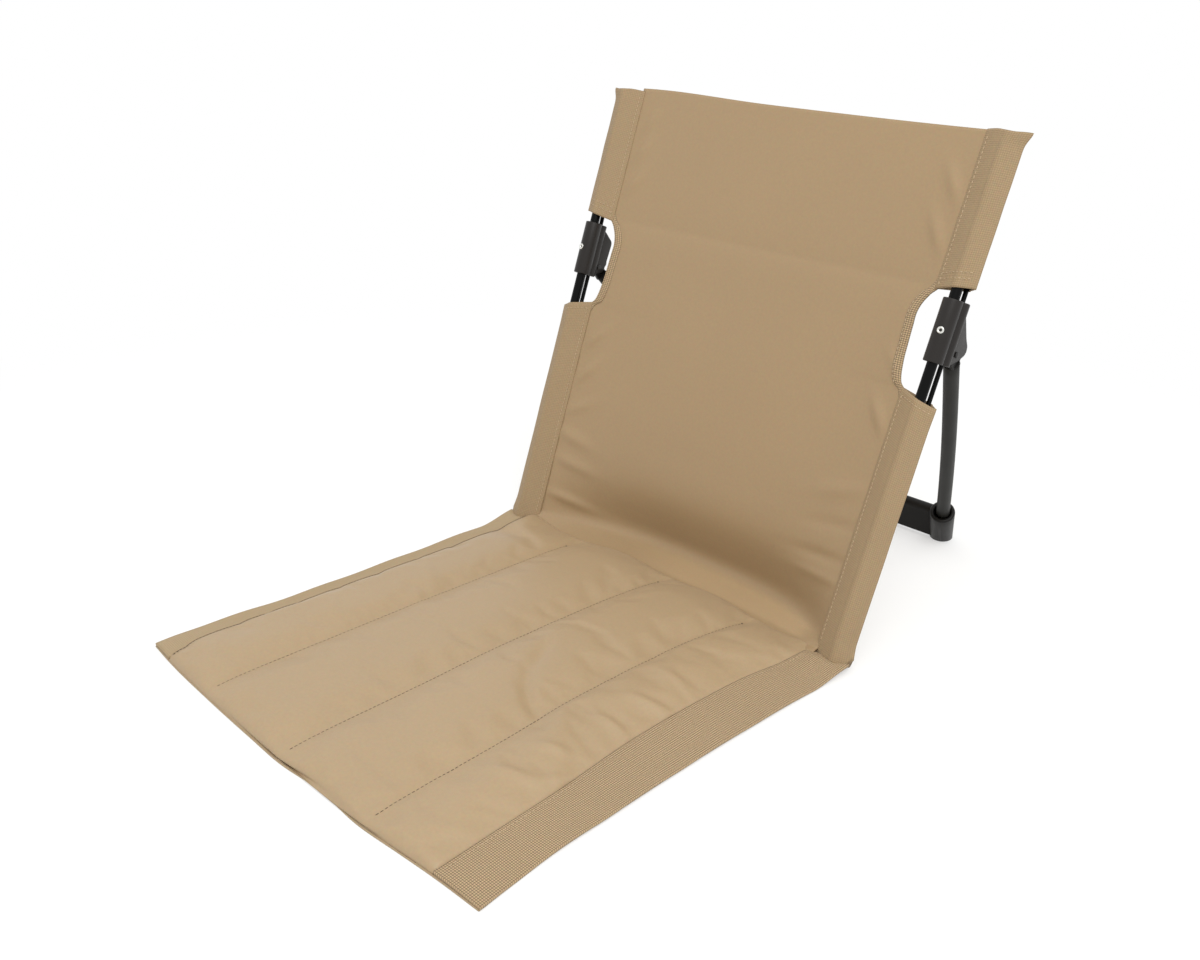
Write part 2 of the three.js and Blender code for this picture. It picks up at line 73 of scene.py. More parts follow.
camera_place = (0.64816, -0.71539, 0.51883)
camera_angles = [math.radians(angle) for angle in (67.3987, -1.615, 44.7621)]
camera_lens = 35.777
camera = add_object("camera", bpy.data.cameras.new("camera"))
adjust(camera, location=camera_place, rotation_euler=camera_angles)
adjust(camera.data, sensor_width=36, lens=camera_lens, clip_start=0.01)
bpy.context.scene.camera = camera
bpy.context.scene.view_settings.view_transform = "Standard"


# Floor and studio
# A white sweep without a horizon. It is white where the camera or a reflection sees it, pale
# where it lights the chair from below, and the chair's soft shadow still shows on it.
def blank_tree(owner):
    """The emptied node tree of a new material or world."""
    owner.use_nodes = True
    owner.node_tree.nodes.clear()
    return owner.node_tree


def shader(tree, kind, **values):
    """A shader node. A capital marks a socket, _0 a socket's number, and the rest are settings. A
    node that is given as a value stands for its first output."""
    made = tree.nodes.new("ShaderNode" + kind)
    for key, value in values.items():
        if key[0].islower():
            setattr(made, key, value)
            continue
        socket = made.inputs[int(key[1:]) if key[0] == "_" else key.replace("_", " ")]
        if isinstance(value, bpy.types.Node):
            value = value.outputs[0]
        if isinstance(value, bpy.types.NodeSocket):
            tree.links.new(value, socket)
        else:
            socket.default_value = value
    return made


def new_material(name):
    """A new material, its empty tree, and the object's coordinates in that tree."""
    material = bpy.data.materials.new(name)
    tree = blank_tree(material)
    return material, tree, shader(tree, "TexCoord").outputs["Object"]


def maths(tree, operation, *values):
    return shader(tree, "Math", operation=operation, **{f"_{i}": v for i, v in enumerate(values)})


def plain_sight(tree):
    """1 for a ray from the camera, from gloss or through glass, 0 for one that lights a surface."""
    rays = shader(tree, "LightPath").outputs
    seen = maths(tree, "MAXIMUM", rays["Is Camera Ray"], rays["Is Glossy Ray"])
    return maths(tree, "MAXIMUM", seen, rays["Is Transmission Ray"])


def make_piece(name, bm, material):
    """A finished piece from a bmesh, at the origin, with its place in its mesh."""
    mesh = bpy.data.meshes.new(name)
    bm.to_mesh(mesh)
    bm.free()
    mesh.materials.append(material)
    mesh.shade_smooth()
    return add_object(name, mesh)


floor_size = 12.0
floor_drop = 0.0003
floor_glow = 0.5
floor_shade_colour = (0.5, 0.5, 0.49, 1)
floor_pale_colour = (0.74, 0.735, 0.72, 1)
pure_white = (1, 1, 1, 1)
shadow_reach = (0.45, 1.1)
sky_strength = 0.9

floor_paint, tree, place = new_material("white_sweep")
shade = shader(tree, "BsdfDiffuse", Color=floor_shade_colour)
glow = shader(tree, "Emission", Color=pure_white, Strength=floor_glow)
near = shader(tree, "AddShader", _0=shade, _1=glow)
far = shader(tree, "Emission", Color=pure_white, Strength=1.0)
distance = shader(tree, "VectorMath", operation="LENGTH", _0=place).outputs["Value"]
away = shader(tree, "MapRange", interpolation_type="SMOOTHSTEP", Value=distance,
              From_Min=shadow_reach[0], From_Max=shadow_reach[1])
bright = shader(tree, "MixShader", Fac=away, _1=near, _2=far)
pale = shader(tree, "BsdfDiffuse", Color=floor_pale_colour)
mixed = shader(tree, "MixShader", Fac=plain_sight(tree), _1=pale, _2=bright)
shader(tree, "OutputMaterial", Surface=mixed)

bm = bmesh.new()
bmesh.ops.create_grid(bm, x_segments=1, y_segments=1, size=floor_size / 2)
bmesh.ops.translate(bm, vec=(0, 0, -floor_drop), verts=bm.verts)
floor = make_piece("floor", bm, floor_paint)

world = bpy.data.worlds.new("studio")
tree = blank_tree(world)
sky = shader(tree, "Background", Color=pure_white, Strength=sky_strength)
white = shader(tree, "Background", Color=pure_white, Strength=1.0)
both = shader(tree, "MixShader", Fac=plain_sight(tree), _1=sky, _2=white)
shader(tree, "OutputWorld", Surface=both)
bpy.context.scene.world = world

# A square soft box shines on the middle of the chair.
lamp_aim = Vector((0, 0, 0.12))
lamp_towards = Vector((0.45, -0.3, 0.85))
lamp_distance = 2.4
lamp = add_object("overhead_box", bpy.data.lights.new("overhead_box", "AREA"))
adjust(lamp.data, size=1.4, energy=27)
lamp.location = lamp_aim + lamp_towards.normalized() * lamp_distance
lamp.rotation_euler = (lamp_aim - lamp.location).to_track_quat("-Z", "Y").to_euler()


# Where things are
# The back leans about its crease with the seat. In the back's own frame x runs across, y square
# to the back towards the rear, and z up it. Rails stand in a frame of their own, splayed outward.
seat_hinge = next(joint for joint in frame["joints"] if joint["name"] == "seat_fold")["pos_m"]
leg_pivot = next(joint for joint in frame["joints"] if joint["name"] == "leg_fold")["pos_m"]
hinge_forward = 0.005
crease_y = seat_hinge[1] + hinge_forward
crease_height = 0.012
back_angle = math.radians(70.4)
back_length = 0.435
back_frame = Matrix.Translation((0, crease_y, crease_height)) @ Matrix.Rotation(
    back_angle - math.pi / 2, 4, "X")
rail_half_spacing = 0.2
block_middle = 0.275
rail_forward = 0.004
rail_splay = math.radians(1.3)
rail_frame = back_frame @ Matrix.Translation(
    (rail_half_spacing - block_middle * math.tan(rail_splay), -rail_forward, 0)
) @ Matrix.Rotation(rail_splay, 4, "Y")
seat_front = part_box("seat_base_cloth")[0].y
half_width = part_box("seat_base_cloth")[1].x


# Quilted seat
# Coated oxford cloth over a thin foam sheet, sewn down in three lines from front to rear, so
# that four soft channels swell between the seams. Its sides are sewn to the edge bands.
def through(at, keys, values):
    """A smooth line through given points, read at a place or an array of places."""
    keys, values = np.asarray(keys, float), np.asarray(values, float)
    at = np.clip(at, keys[0], keys[-1])
    k = np.clip(np.searchsorted(keys, at, side="right") - 1, 0, len(keys) - 2)
    slopes = np.gradient(values, keys)
    gap = keys[k + 1] - keys[k]
    t = (at - keys[k]) / gap
    return (
        values[k] * (1 + 2 * t) * (1 - t) ** 2
        + slopes[k] * gap * t * (1 - t) ** 2
        + values[k + 1] * t * t * (3 - 2 * t)
        - slopes[k + 1] * gap * t * t * (1 - t)
    )


def ease(value, start, end):
    """0 before start, 1 after end, and smooth between them."""
    t = np.clip((value - start) / (end - start), 0, 1)
    return t * t * (3 - 2 * t)


def creases(x, y, table):
    """The height of soft ridges, each with its middle, direction, length, width and height."""
    total = 0.0
    for middle_x, middle_y, direction, length, width, height in table:
        turn = math.radians(direction)
        along = (x - middle_x) * math.cos(turn) + (y - middle_y) * math.sin(turn)
        aside = (y - middle_y) * math.cos(turn) - (x - middle_x) * math.sin(turn)
        total = total + height * np.exp(-4 * ((along / length) ** 2 + (aside / width) ** 2))
    return total


def cloth_grid(columns, rows, flat_width, flat_length, place):
    """A sheet of cloth as a grid, laid by a rule from shares of its width and length to a place."""
    bm = bmesh.new()
    layer = bm.loops.layers.uv.new("cloth")
    bmesh.ops.create_grid(bm, x_segments=columns, y_segments=rows, size=0.5)
    for face in bm.faces:
        for loop in face.loops:
            share = loop.vert.co
            loop[layer].uv = ((share.x + 0.5) * flat_width, (share.y + 0.5) * flat_length)
    u = np.array([vert.co.x + 0.5 for vert in bm.verts])
    v = np.array([vert.co.y + 0.5 for vert in bm.verts])
    for vert, corner in zip(bm.verts, place(u, v)):
        vert.co = corner
    return bm


def thicken(piece, thickness):
    adjust(piece.modifiers.new("thickness", "SOLIDIFY"), thickness=thickness, offset=-1,
           use_even_offset=True)


def toned(colour, factor):
    """A colour made darker or lighter by a factor."""
    return [min(1, part * factor) for part in colour]


def mixed_colour(tree, share, first, second, **settings):
    """The colour between two colours, each a plain one or a node's."""
    first, second = [colour if isinstance(colour, bpy.types.NodeSocket) else (*colour, 1)
                     for colour in (first, second)]
    return shader(tree, "Mix", data_type="RGBA", _0=share, _6=first, _7=second,
                  **settings).outputs[2]


def painted_light_share(tree, parts, painted_light):
    """1 where painted light makes the cloth paler and 0 elsewhere, by its UV map, fading both ways.
    """
    share = 1.0
    for axis, (start, full, last, end) in enumerate(painted_light):
        for low, high, first in ((start, full, 0.0), (last, end, 1.0)):
            fade = shader(tree, "MapRange", interpolation_type="SMOOTHSTEP", From_Min=low,
                          From_Max=high, To_Min=first, To_Max=1 - first, Value=parts.outputs[axis])
            share = maths(tree, "MULTIPLY", share, fade)
    return share


yarn_roundness = 0.6
yarn_full = 0.75
patch_scale = 9.0
patchiness = 0.05
slub_scale = 420.0
slub_share = 0.1


def woven(name, colour, yarn, relief, gap_painted_shade, roughness=0.8, sheen=0.06, painted_light=None, pale=None):
    """Woven cloth: yarns that cross in a square grid, shade painted in the gaps, on the cloth's UV
    map.
    """
    material, tree, place = new_material(name)
    flat = shader(tree, "UVMap", uv_map="cloth")
    parts = shader(tree, "SeparateXYZ", Vector=flat)
    waves = []
    for axis in (0, 1):
        wave = maths(tree, "COSINE", maths(tree, "MULTIPLY", parts.outputs[axis], math.pi / yarn))
        waves.append(maths(tree, "ABSOLUTE", wave))
    rounded = maths(tree, "POWER", maths(tree, "MULTIPLY", *waves), yarn_roundness)
    patches = shader(tree, "TexNoise", Vector=place, Scale=patch_scale, Detail=3.0)
    slubs = shader(tree, "TexNoise", Vector=place, Scale=slub_scale, Detail=2.0)
    patches_and_painted_light = mixed_colour(tree, patches, toned(colour, 1 - patchiness),
                         toned(colour, 1 + patchiness))
    # Painted light: an optional paler colour over a patch of the cloth.
    if painted_light:
        patches_and_painted_light = mixed_colour(tree, painted_light_share(tree, parts, painted_light), patches_and_painted_light, pale)
    # Painted shade: the colour is darker in the gaps between the yarns.
    gaps = shader(tree, "MapRange", Value=rounded, From_Max=yarn_full)
    mixed = mixed_colour(tree, gaps, toned(colour, 1 - gap_painted_shade), patches_and_painted_light)
    uneven = mixed_colour(tree, slub_share, mixed, slubs.outputs["Color"], blend_type="OVERLAY")
    bump = shader(tree, "Bump", Height=rounded, Distance=relief, Strength=0.9)
    skin = shader(tree, "BsdfPrincipled", Base_Color=uneven, Roughness=roughness, Normal=bump,
                  Specular_IOR_Level=0.45, Sheen_Weight=sheen, Sheen_Roughness=0.45)
    shader(tree, "OutputMaterial", Surface=skin)
    return material


seat_colour = (0.4235, 0.303, 0.1735)
cloth_yarn = 0.0007
cloth_thickness = 0.0009
oxford = woven("tan_oxford_cloth", seat_colour, cloth_yarn, relief=0.00005, gap_painted_shade=0.1,
               roughness=0.47)

seam_table_y = (-0.354, -0.31, -0.241, -0.167, -0.083, -0.033, 0.03, 0.055)
right_seam_x = (0.167, 0.1645, 0.161, 0.155, 0.155, 0.158, 0.1695, 0.1745)
left_seam_x = (-0.182, -0.184, -0.1835, -0.183, -0.182, -0.182, -0.182, -0.182)
front_table_x = (-0.21, -0.181, -0.111, -0.042, 0.0, 0.043, 0.095, 0.134, 0.168, 0.21)
front_table_y = (
    -0.353, -0.3562, -0.3605, -0.363, -0.364, -0.3605, -0.3625, -0.3595, -0.357, -0.3555)
rear_table_x = (-0.182, -0.11, -0.07, 0.0, 0.05, 0.102, 0.17)
rear_table_y = (0.044, 0.049, 0.057, 0.053, 0.057, 0.049, 0.046)
stitch_columns = (0, 19, 46, 72, 89)
stitch_shares = (0.0, 0.2, 0.514, 0.806, 1.0)
column_marks = (0, 1, 2, 3, *stitch_columns[1:])
share_marks = (0.0, 0.002, 0.007, 0.018, *stitch_shares[1:])
left_edge_round = (0.0, 0.62, 0.88, 0.96, 1.0, 1.0, 1.0, 1.0)
pad_rows = 104
pad_flat_width = 0.352
pad_flat_length = 0.408
edge_rows = (0, 1, 2, 3, 4, 100, 101, 102, 103, 104)
edge_runs = (0.0, 0.001, 0.003, 0.006, 0.0095, -0.0125, -0.0085, -0.0048, -0.0018, 0.0)
edge_rounds = (0.0, 0.46, 0.76, 0.93, 1.0, 1.0, 0.96, 0.8, 0.48, 0.0)
channel_heights = (0.0118, 0.0106, 0.0106, 0.01)
seam_heights = (0.004, 0.0063, 0.0063, 0.0063, 0.0046)
seam_hardness = 0.34
right_hardness = 0.8
front_seam_height = 0.0056
front_swell = 0.0036
front_rise_run = 0.03
rear_fall = 0.0034
rear_fall_run = 0.042
pad_base = 0.001
rear_base = 0.0046
pad_foot = 0.0009
pad_foot_rise = 0.0028
pad_foot_run = (0.03, 0.05)
corner_height = 0.0064
corner_run = (-0.006, 0.044)
corner_sides = (0.136, 0.184)
first_stitch_row = 4
pad_growth = 0.008
pad_pressure = 1.2
pad_frames = 20
most_up = 0.0024
most_down = 0.002
pad_folds = (
    (0.03, -0.142, -62, 0.05, 0.012, -0.0026),
    (0.055, -0.178, -42, 0.046, 0.01, -0.0032),
    (0.086, -0.197, -28, 0.034, 0.008, -0.0024),
    (-0.146, -0.118, -30, 0.056, 0.009, 0.0018),
    (-0.155, -0.217, -26, 0.034, 0.009, 0.0016),
    (-0.12, -0.15, -34, 0.04, 0.01, 0.0018),
    (0.131, -0.262, 21, 0.034, 0.009, 0.0032),
    (0.153, -0.242, 60, 0.026, 0.009, 0.0026),
    (0.129, -0.221, 28, 0.03, 0.009, 0.0034),
    (0.131, -0.165, -7, 0.04, 0.009, 0.0034),
    (0.138, -0.124, 17, 0.038, 0.009, 0.0032),
    (0.132, -0.086, -8, 0.04, 0.009, 0.0028),
)


def corner_rise(x, y):
    """The rear corners climb to the crease, where the bands turn up into the sleeves."""
    return corner_height * ease(y, *corner_run) * ease(np.abs(x), *corner_sides)


def front_line(x):
    return through(x, front_table_x, front_table_y)


def pad_place(u, v):
    """The pad's top before it swells, with rounded ends and each seam in a narrow valley."""
    row = v * pad_rows
    share = np.interp(u * stitch_columns[-1], column_marks, share_marks)
    rough = left_seam_x[0] + (right_seam_x[0] - left_seam_x[0]) * share
    front = front_line(rough)
    length = through(rough, rear_table_x, rear_table_y) - front
    offset = np.interp(row, edge_rows, edge_runs)
    middle = (row - edge_rows[4]) / (edge_rows[5] - edge_rows[4])
    inner = edge_runs[4] + (length + edge_runs[5] - edge_runs[4]) * middle
    run = np.where(row < edge_rows[4], offset, np.where(row > edge_rows[5], length + offset, inner))
    y = front + run
    left = through(y, seam_table_y, left_seam_x)
    right = through(y, seam_table_y, right_seam_x)
    x = left + (right - left) * share
    channel = np.clip(np.searchsorted(stitch_shares, share, side="right") - 1, 0, 3)
    marks = np.array(stitch_shares)
    across = np.clip((share - marks[channel]) / np.diff(marks)[channel], 0, 1)
    hardness = np.where((channel == 3) & (across > 0.5), right_hardness, seam_hardness)
    swell = np.sin(math.pi * across) ** hardness
    steep = np.interp(share, share_marks, left_edge_round)
    swell = np.where((channel == 0) & (across < 0.5), np.maximum(swell, steep), swell)
    seam = np.interp(share, stitch_shares, seam_heights)
    height = seam + (np.array(channel_heights)[channel] - seam) * swell
    front_height = front_seam_height + front_swell * np.sin(math.pi * across) ** 0.5
    height = front_height + (height - front_height) * ease(run, 0.0, front_rise_run)
    height = height - rear_fall * ease(run, length - rear_fall_run, length)
    rounding = np.interp(row, edge_rows, edge_rounds)
    low = np.where(row < pad_rows / 2, pad_base, rear_base)
    height = low + (height - low) * rounding
    height = height + corner_rise(x, y)
    return np.stack([x, y, height], axis=1)


def simulate_swelling(piece, pinned):
    """Lets the cloth swell between its sewn lines, and gives back where its points end up."""
    trial = add_object("swelling", piece.data.copy())
    sewn = trial.vertex_groups.new(name="sewn")
    sewn.add(pinned, 1.0, "REPLACE")
    cloth = trial.modifiers.new("cloth", "CLOTH")
    adjust(cloth.settings, quality=6, mass=0.2, tension_stiffness=25, compression_stiffness=25,
           shear_stiffness=8, bending_stiffness=0.8, air_damping=2, vertex_group_mass="sewn",
           shrink_min=-pad_growth, use_pressure=True, uniform_pressure_force=pad_pressure)
    cloth.settings.effector_weights.gravity = 0
    cloth.collision_settings.use_collision = False
    adjust(cloth.point_cache, frame_start=1, frame_end=pad_frames)
    for frame_number in range(1, pad_frames + 1):
        bpy.context.scene.frame_set(frame_number)
    seen = trial.evaluated_get(bpy.context.evaluated_depsgraph_get())
    places = np.array([vert.co[:] for vert in seen.data.vertices])
    bpy.context.scene.frame_set(1)
    bpy.data.objects.remove(trial)
    return places


last_column = stitch_columns[-1]
bm = cloth_grid(last_column, pad_rows, pad_flat_width, pad_flat_length, pad_place)
seat_pad = make_piece("seat_pad", bm, oxford)
pad_row, pad_column = np.divmod(np.arange(len(seat_pad.data.vertices)), last_column + 1)
on_seam = np.isin(pad_column, stitch_columns[1:-1]) & (pad_row >= first_stitch_row)
on_edge = np.isin(pad_column, (0, last_column)) | np.isin(
    pad_row, (0, 1, pad_rows - 1, pad_rows))
before = np.array([vert.co[:] for vert in seat_pad.data.vertices])
after = simulate_swelling(seat_pad, np.flatnonzero(on_seam | on_edge).tolist())
moved = after - before
moved[:, :2] = np.clip(moved[:, :2], -most_down, most_down)
moved[:, 2] = np.clip(moved[:, 2], -most_down, most_up)
after = before + moved
free = ease(np.minimum(pad_row, pad_rows - pad_row), 2, 6) * (~on_seam)
after[:, 2] += creases(after[:, 0], after[:, 1], pad_folds) * free
for vert, corner in zip(seat_pad.data.vertices, after):
    vert.co = corner

bm = bmesh.new()
bm.from_mesh(seat_pad.data)
top_count = len(bm.verts)
bmesh.ops.solidify(bm, geom=bm.faces[:], thickness=0.001)
bm.verts.ensure_lookup_table()
for vert in bm.verts[top_count:]:
    x, y = after[vert.index - top_count][:2]
    vert.co = (x, y, pad_foot + pad_foot_rise * ease(y, *pad_foot_run) + corner_rise(x, y))
bmesh.ops.recalc_face_normals(bm, faces=bm.faces)
bm.to_mesh(seat_pad.data)
bm.free()
seat_pad.data.shade_smooth()
finer = seat_pad.modifiers.new("finer", "SUBSURF")
finer.levels = finer.render_levels = 1
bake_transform(seat_pad)
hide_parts("seat_top_cloth", "foam_strip_1", "foam_strip_2", "foam_strip_3",
            "foam_strip_4")


# Back cloth
# One piece of the same cloth, sewn to the sleeves at its sides. It hangs behind the plane of the
# rails, deepest just above the floor, and its edges are hemmed round the hinge notches. Its colour
# is the seat's cloth made darker, as painted shade, and a paler strip along the crease, where it
# turns down onto the seat, is painted light.
# Painted shade: the back's colour is a darker copy of the seat cloth.
back_colour_painted_shade = (0.371, 0.2535, 0.1345)
# Painted light: a paler colour over a strip of the back cloth along the crease.
painted_light_colour = (0.475, 0.331, 0.181)
painted_light_places = ((0.085, 0.195, 0.325, 0.35), (0.019, 0.027, 0.047, 0.058))
back_oxford_painted_shade_and_light = woven("tan_oxford_back_painted_shade_and_light", back_colour_painted_shade, cloth_yarn, relief=0.00005, gap_painted_shade=0.1,
                    roughness=0.5, sheen=0.08, painted_light=painted_light_places, pale=painted_light_colour)
sag_depth = 0.047
middle_behind_shares = (
    -0.134, 0.101, 0.377, 0.644, 0.829, 0.918, 0.934, 0.9, 0.836, 0.687, 0.522, 0.391, 0.306,
    0.255, 0.23, 0.211, 0.19, 0.17, 0.13, 0.09, 0.06)
middle_up_shares = (
    -0.028, -0.018, -0.005, 0.0097, 0.0221, 0.0329, 0.0445, 0.0554, 0.0663, 0.0874, 0.1129, 0.1395,
    0.1678, 0.2025, 0.2455, 0.3, 0.44, 0.6, 0.74, 0.88, 1)
edge_up_shares = (
    -0.028, -0.018, -0.008, 0.001, 0.009, 0.017, 0.026, 0.036, 0.047, 0.066, 0.09, 0.116, 0.147,
    0.184, 0.232, 0.292, 0.44, 0.6, 0.74, 0.88, 1)
sag_sharpness = (2.3, 3.6)
top_line_x = (-0.215, -0.177, -0.037, 0.084, 0.215)
top_line_rise = (0.0018, 0.0036, 0.0014, 0.0004, 0.0)
seam_inboard = 0.0205
seam_overlap = 0.0028
notch_up = (0.222, 0.229, 0.243, 0.26, 0.275, 0.285, 0.295, 0.302, 0.308)
notch_in = (0.0, 0.0035, 0.0068, 0.0082, 0.009, 0.0094, 0.0066, 0.0026, 0.0)
hem_width = 0.009
hem_ledge = 0.0007
hem_ledge_width = 0.0016
hem_swell = 0.0005
hem_swell_width = 0.003
calm_edge = 0.01
notch_start = 0.003
fold_up = 0.309
fold_reaches = (0.008, 0.017)
fold_depth = 0.0013
back_columns = 130
back_rows = 190


def run_along(line):
    """How far along a line of places each of its places lies."""
    return np.append(0, np.cumsum(np.linalg.norm(np.diff(line, axis=0), axis=1)))


along_keys = np.linspace(0, 1, len(middle_up_shares))
dense = np.linspace(0, 1, 1200)
dense_length = run_along(np.stack([
    through(dense, along_keys, middle_behind_shares) * sag_depth,
    through(dense, along_keys, middle_up_shares) * back_length,
], axis=1))
sling_length = float(dense_length[-1])
back_folds = (
    (0.15, 0.128, 14, 0.06, 0.014, -0.0014),
    (0.152, 0.098, 8, 0.06, 0.011, 0.0011),
    (0.148, 0.069, 4, 0.064, 0.01, 0.0018),
    (0.148, 0.052, 2, 0.064, 0.009, -0.0016),
    (-0.158, 0.088, -10, 0.05, 0.012, -0.0022),
    (-0.15, 0.062, -6, 0.05, 0.011, -0.002),
    (-0.148, 0.025, -6, 0.05, 0.01, -0.0028),
    (-0.166, 0.345, 60, 0.03, 0.009, -0.002),
    (-0.167, 0.375, 60, 0.028, 0.009, -0.002),
    (-0.166, 0.402, 62, 0.028, 0.009, -0.0016),
    (-0.164, 0.19, 50, 0.034, 0.01, -0.0024),
    (-0.163, 0.155, 50, 0.034, 0.01, -0.0024),
    (0.166, 0.35, -60, 0.034, 0.01, -0.0024),
    (0.168, 0.39, -60, 0.034, 0.01, -0.0024),
    (0.164, 0.196, -55, 0.034, 0.01, -0.0026),
    (0.165, 0.24, -50, 0.03, 0.009, -0.0014),
    (-0.16, 0.12, 30, 0.04, 0.01, -0.0016),
)


def in_notch(up):
    """1 where the edge is cut free for the hinge block, and 0 where it is sewn into a sleeve."""
    return ease(through(up, notch_up, notch_in), 0.0, notch_start)


def seam_at(up):
    return rail_half_spacing + (up - block_middle) * math.tan(rail_splay) - seam_inboard


def half_at(z):
    """Half the cloth's width, from its middle to its sewn or cut edge."""
    return seam_at(z) + seam_overlap * (1 - in_notch(z)) - through(z, notch_up, notch_in)


def sling(u, along, behind=0.0):
    """A place on the back cloth in the back's frame, or a little behind it."""
    side = 2 * u - 1
    middle_y = through(along, along_keys, middle_behind_shares) * sag_depth
    middle_z = through(along, along_keys, middle_up_shares) * back_length
    edge_z = through(along, along_keys, edge_up_shares) * back_length
    edge_y = np.where(along < along_keys[1], middle_behind_shares[0] * sag_depth * (
        1 - ease(along, 0, along_keys[1])), 0.0)
    sag = 1 - np.abs(side) ** np.where(side < 0, *sag_sharpness)
    y = edge_y + (middle_y - edge_y) * sag
    z = edge_z + (middle_z - edge_z) * sag
    half = half_at(z)
    x = side * half
    inner = 1 - ease(np.abs(x), half - calm_edge, half)
    y = y + creases(x, z, back_folds) * (0.25 + 0.75 * inner) * ease(along, 0.2, 0.32)
    reach = np.where(z < fold_up, *fold_reaches)
    y = y + fold_depth * np.exp(-np.abs(z - fold_up) / reach) * (1 - side ** 6)
    from_edge = half - np.abs(x)
    ledge = hem_ledge * np.exp(-((from_edge - hem_width) / hem_ledge_width) ** 2)
    swell = hem_swell * np.exp(-((from_edge - hem_width / 2) / hem_swell_width) ** 2)
    y = y + in_notch(z) * (ledge - swell) + behind
    z = z + through(x, top_line_x, top_line_rise) * ease(along, 0.86, 1.0)
    return np.stack([x, y, z], axis=1)


def in_back(places):
    turned = np.array(back_frame)
    return places @ turned[:3, :3].T + turned[:3, 3]


def back_place(u, v):
    """The whole sheet. Its start runs up between the seat's layers at the rear corners."""
    along = np.interp(v * sling_length, dense_length, dense)
    places = in_back(sling(u, along))
    places[:, 2] += corner_rise(places[:, 0], places[:, 1]) * (1 - ease(along, 0.05, 0.25))
    return places


bm = cloth_grid(back_columns, back_rows, 2 * seam_at(block_middle), sling_length, back_place)
back_cloth = make_piece("back_cloth", bm, back_oxford_painted_shade_and_light)
thicken(back_cloth, cloth_thickness)
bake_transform(back_cloth)
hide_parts("back_panel", "top_hem")


# Edge bands of the seat
# A ribbed webbing about 40 mm wide is folded over each side edge and sewn down flat. At the
# rear it climbs to the crease, and its outer edge lifts a little off the floor. The left band's
# webbing is a paler copy of it, as painted light.
webbing_colour = (0.515, 0.365, 0.207)
# Painted light: the left band is a paler copy of the same webbing.
left_band_painted_light_colour = (0.415, 0.304, 0.173)
webbing_rib = 0.00175
webbing = woven("tan_ribbed_webbing", webbing_colour, webbing_rib, relief=0.0005, gap_painted_shade=0.8)
left_band_webbing_painted_light = woven("ribbed_webbing_painted_light", left_band_painted_light_colour, webbing_rib, relief=0.0002,
                     gap_painted_shade=0.15)
band_table_y = (-0.3545, -0.334, -0.315, -0.293, -0.24, -0.149, -0.039, 0.021, 0.0385)
right_edge_x = (0.21, 0.2076, 0.2056, 0.204, 0.203, 0.2018, 0.204, 0.207, 0.2085)
left_edge_x = (-0.2105, -0.2125, -0.2122, -0.2108, -0.2066, -0.2056, -0.207, -0.209, -0.2095)
band_rear = 0.0385
band_thickness = 0.002
band_level = 0.0042
band_fall = 0.0014
band_overlap = 0.0012
edge_lift = 0.001
rear_tuck = 0.0026
band_wave = 0.0004


def edge_rise(outward, v):
    """The seat's outer edge lifts off the floor, but not at its front and its rear."""
    return edge_lift * outward * ease(v, 0.1, 0.25) * (1 - ease(v, 0.8, 0.95))


def band_place(seam_table, edge_table):
    def place(u, v):
        front = front_line(seam_table[0] + (edge_table[0] - seam_table[0]) * u)
        y = front + (band_rear - front) * v
        seam = through(y, seam_table_y, seam_table) - band_overlap * (seam_table[0] > 0)
        edge = through(y, band_table_y, edge_table)
        x = seam + (edge - seam) * u
        lift = edge_rise(ease(u, 0.55, 1.0), v)
        tuck = rear_tuck * ease(v, 0.978, 1.0) * (1 - ease(u, 0.7, 0.95))
        height = band_level + lift - band_fall * ease(u, 0.2, 1.0) - tuck + corner_rise(x, y)
        height = height + band_wave * np.sin(v * 31 + u * 2) * ease(u, 0.2, 0.8)
        return np.stack([x, y, height], axis=1)
    return place


for side, seam_table, edge_table, band_width, material in (
        ("right", right_seam_x, right_edge_x, 0.042, webbing),
        ("left", left_seam_x, left_edge_x, 0.02625, left_band_webbing_painted_light)):
    bm = cloth_grid(18, 150, band_width, band_rear - seat_front, band_place(seam_table, edge_table))
    if side == "left":
        bmesh.ops.reverse_faces(bm, faces=bm.faces)
    band = make_piece(f"seat_band_{side}_webbing", bm, material)
    thicken(band, band_thickness)
    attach(band, "seat")
    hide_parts(f"seat_band_{side}")


# Notch hems
# A narrow strip of the same webbing is folded over the cut edge of the back cloth beside each
# hinge block and sewn through.
hem_inward = (0.004, 0.0, -0.0006, 0.0, 0.003, 0.006, 0.0085, 0.009)
hem_behind = (0.0015, 0.0015, 0.0004, -0.0005, -0.0006, -0.0006, -0.0005, 0.0)
hem_girth = 0.0154
hem_low = 0.212
hem_high = 0.318
hem_least = 0.3
hem_thickness = 0.0004
edge_up = through(dense, along_keys, edge_up_shares) * back_length


def beside_notch(sign, inward, z, behind):
    """A place on the back cloth, measured inwards from its cut edge."""
    along = np.interp(z, edge_up, dense)
    return in_back(sling(0.5 + sign * (1 - inward / half_at(z)) / 2, along, behind))


def hem_place(sign):
    def place(u, v):
        step = u * (len(hem_inward) - 1)
        inward = np.interp(step, range(len(hem_inward)), hem_inward)
        behind = np.interp(step, range(len(hem_behind)), hem_behind)
        z = hem_low + (hem_high - hem_low) * v
        full = ease(z, hem_low, notch_up[1]) * (1 - ease(z, notch_up[-2], hem_high))
        return beside_notch(sign, inward * (hem_least + (1 - hem_least) * full), z, behind)
    return place


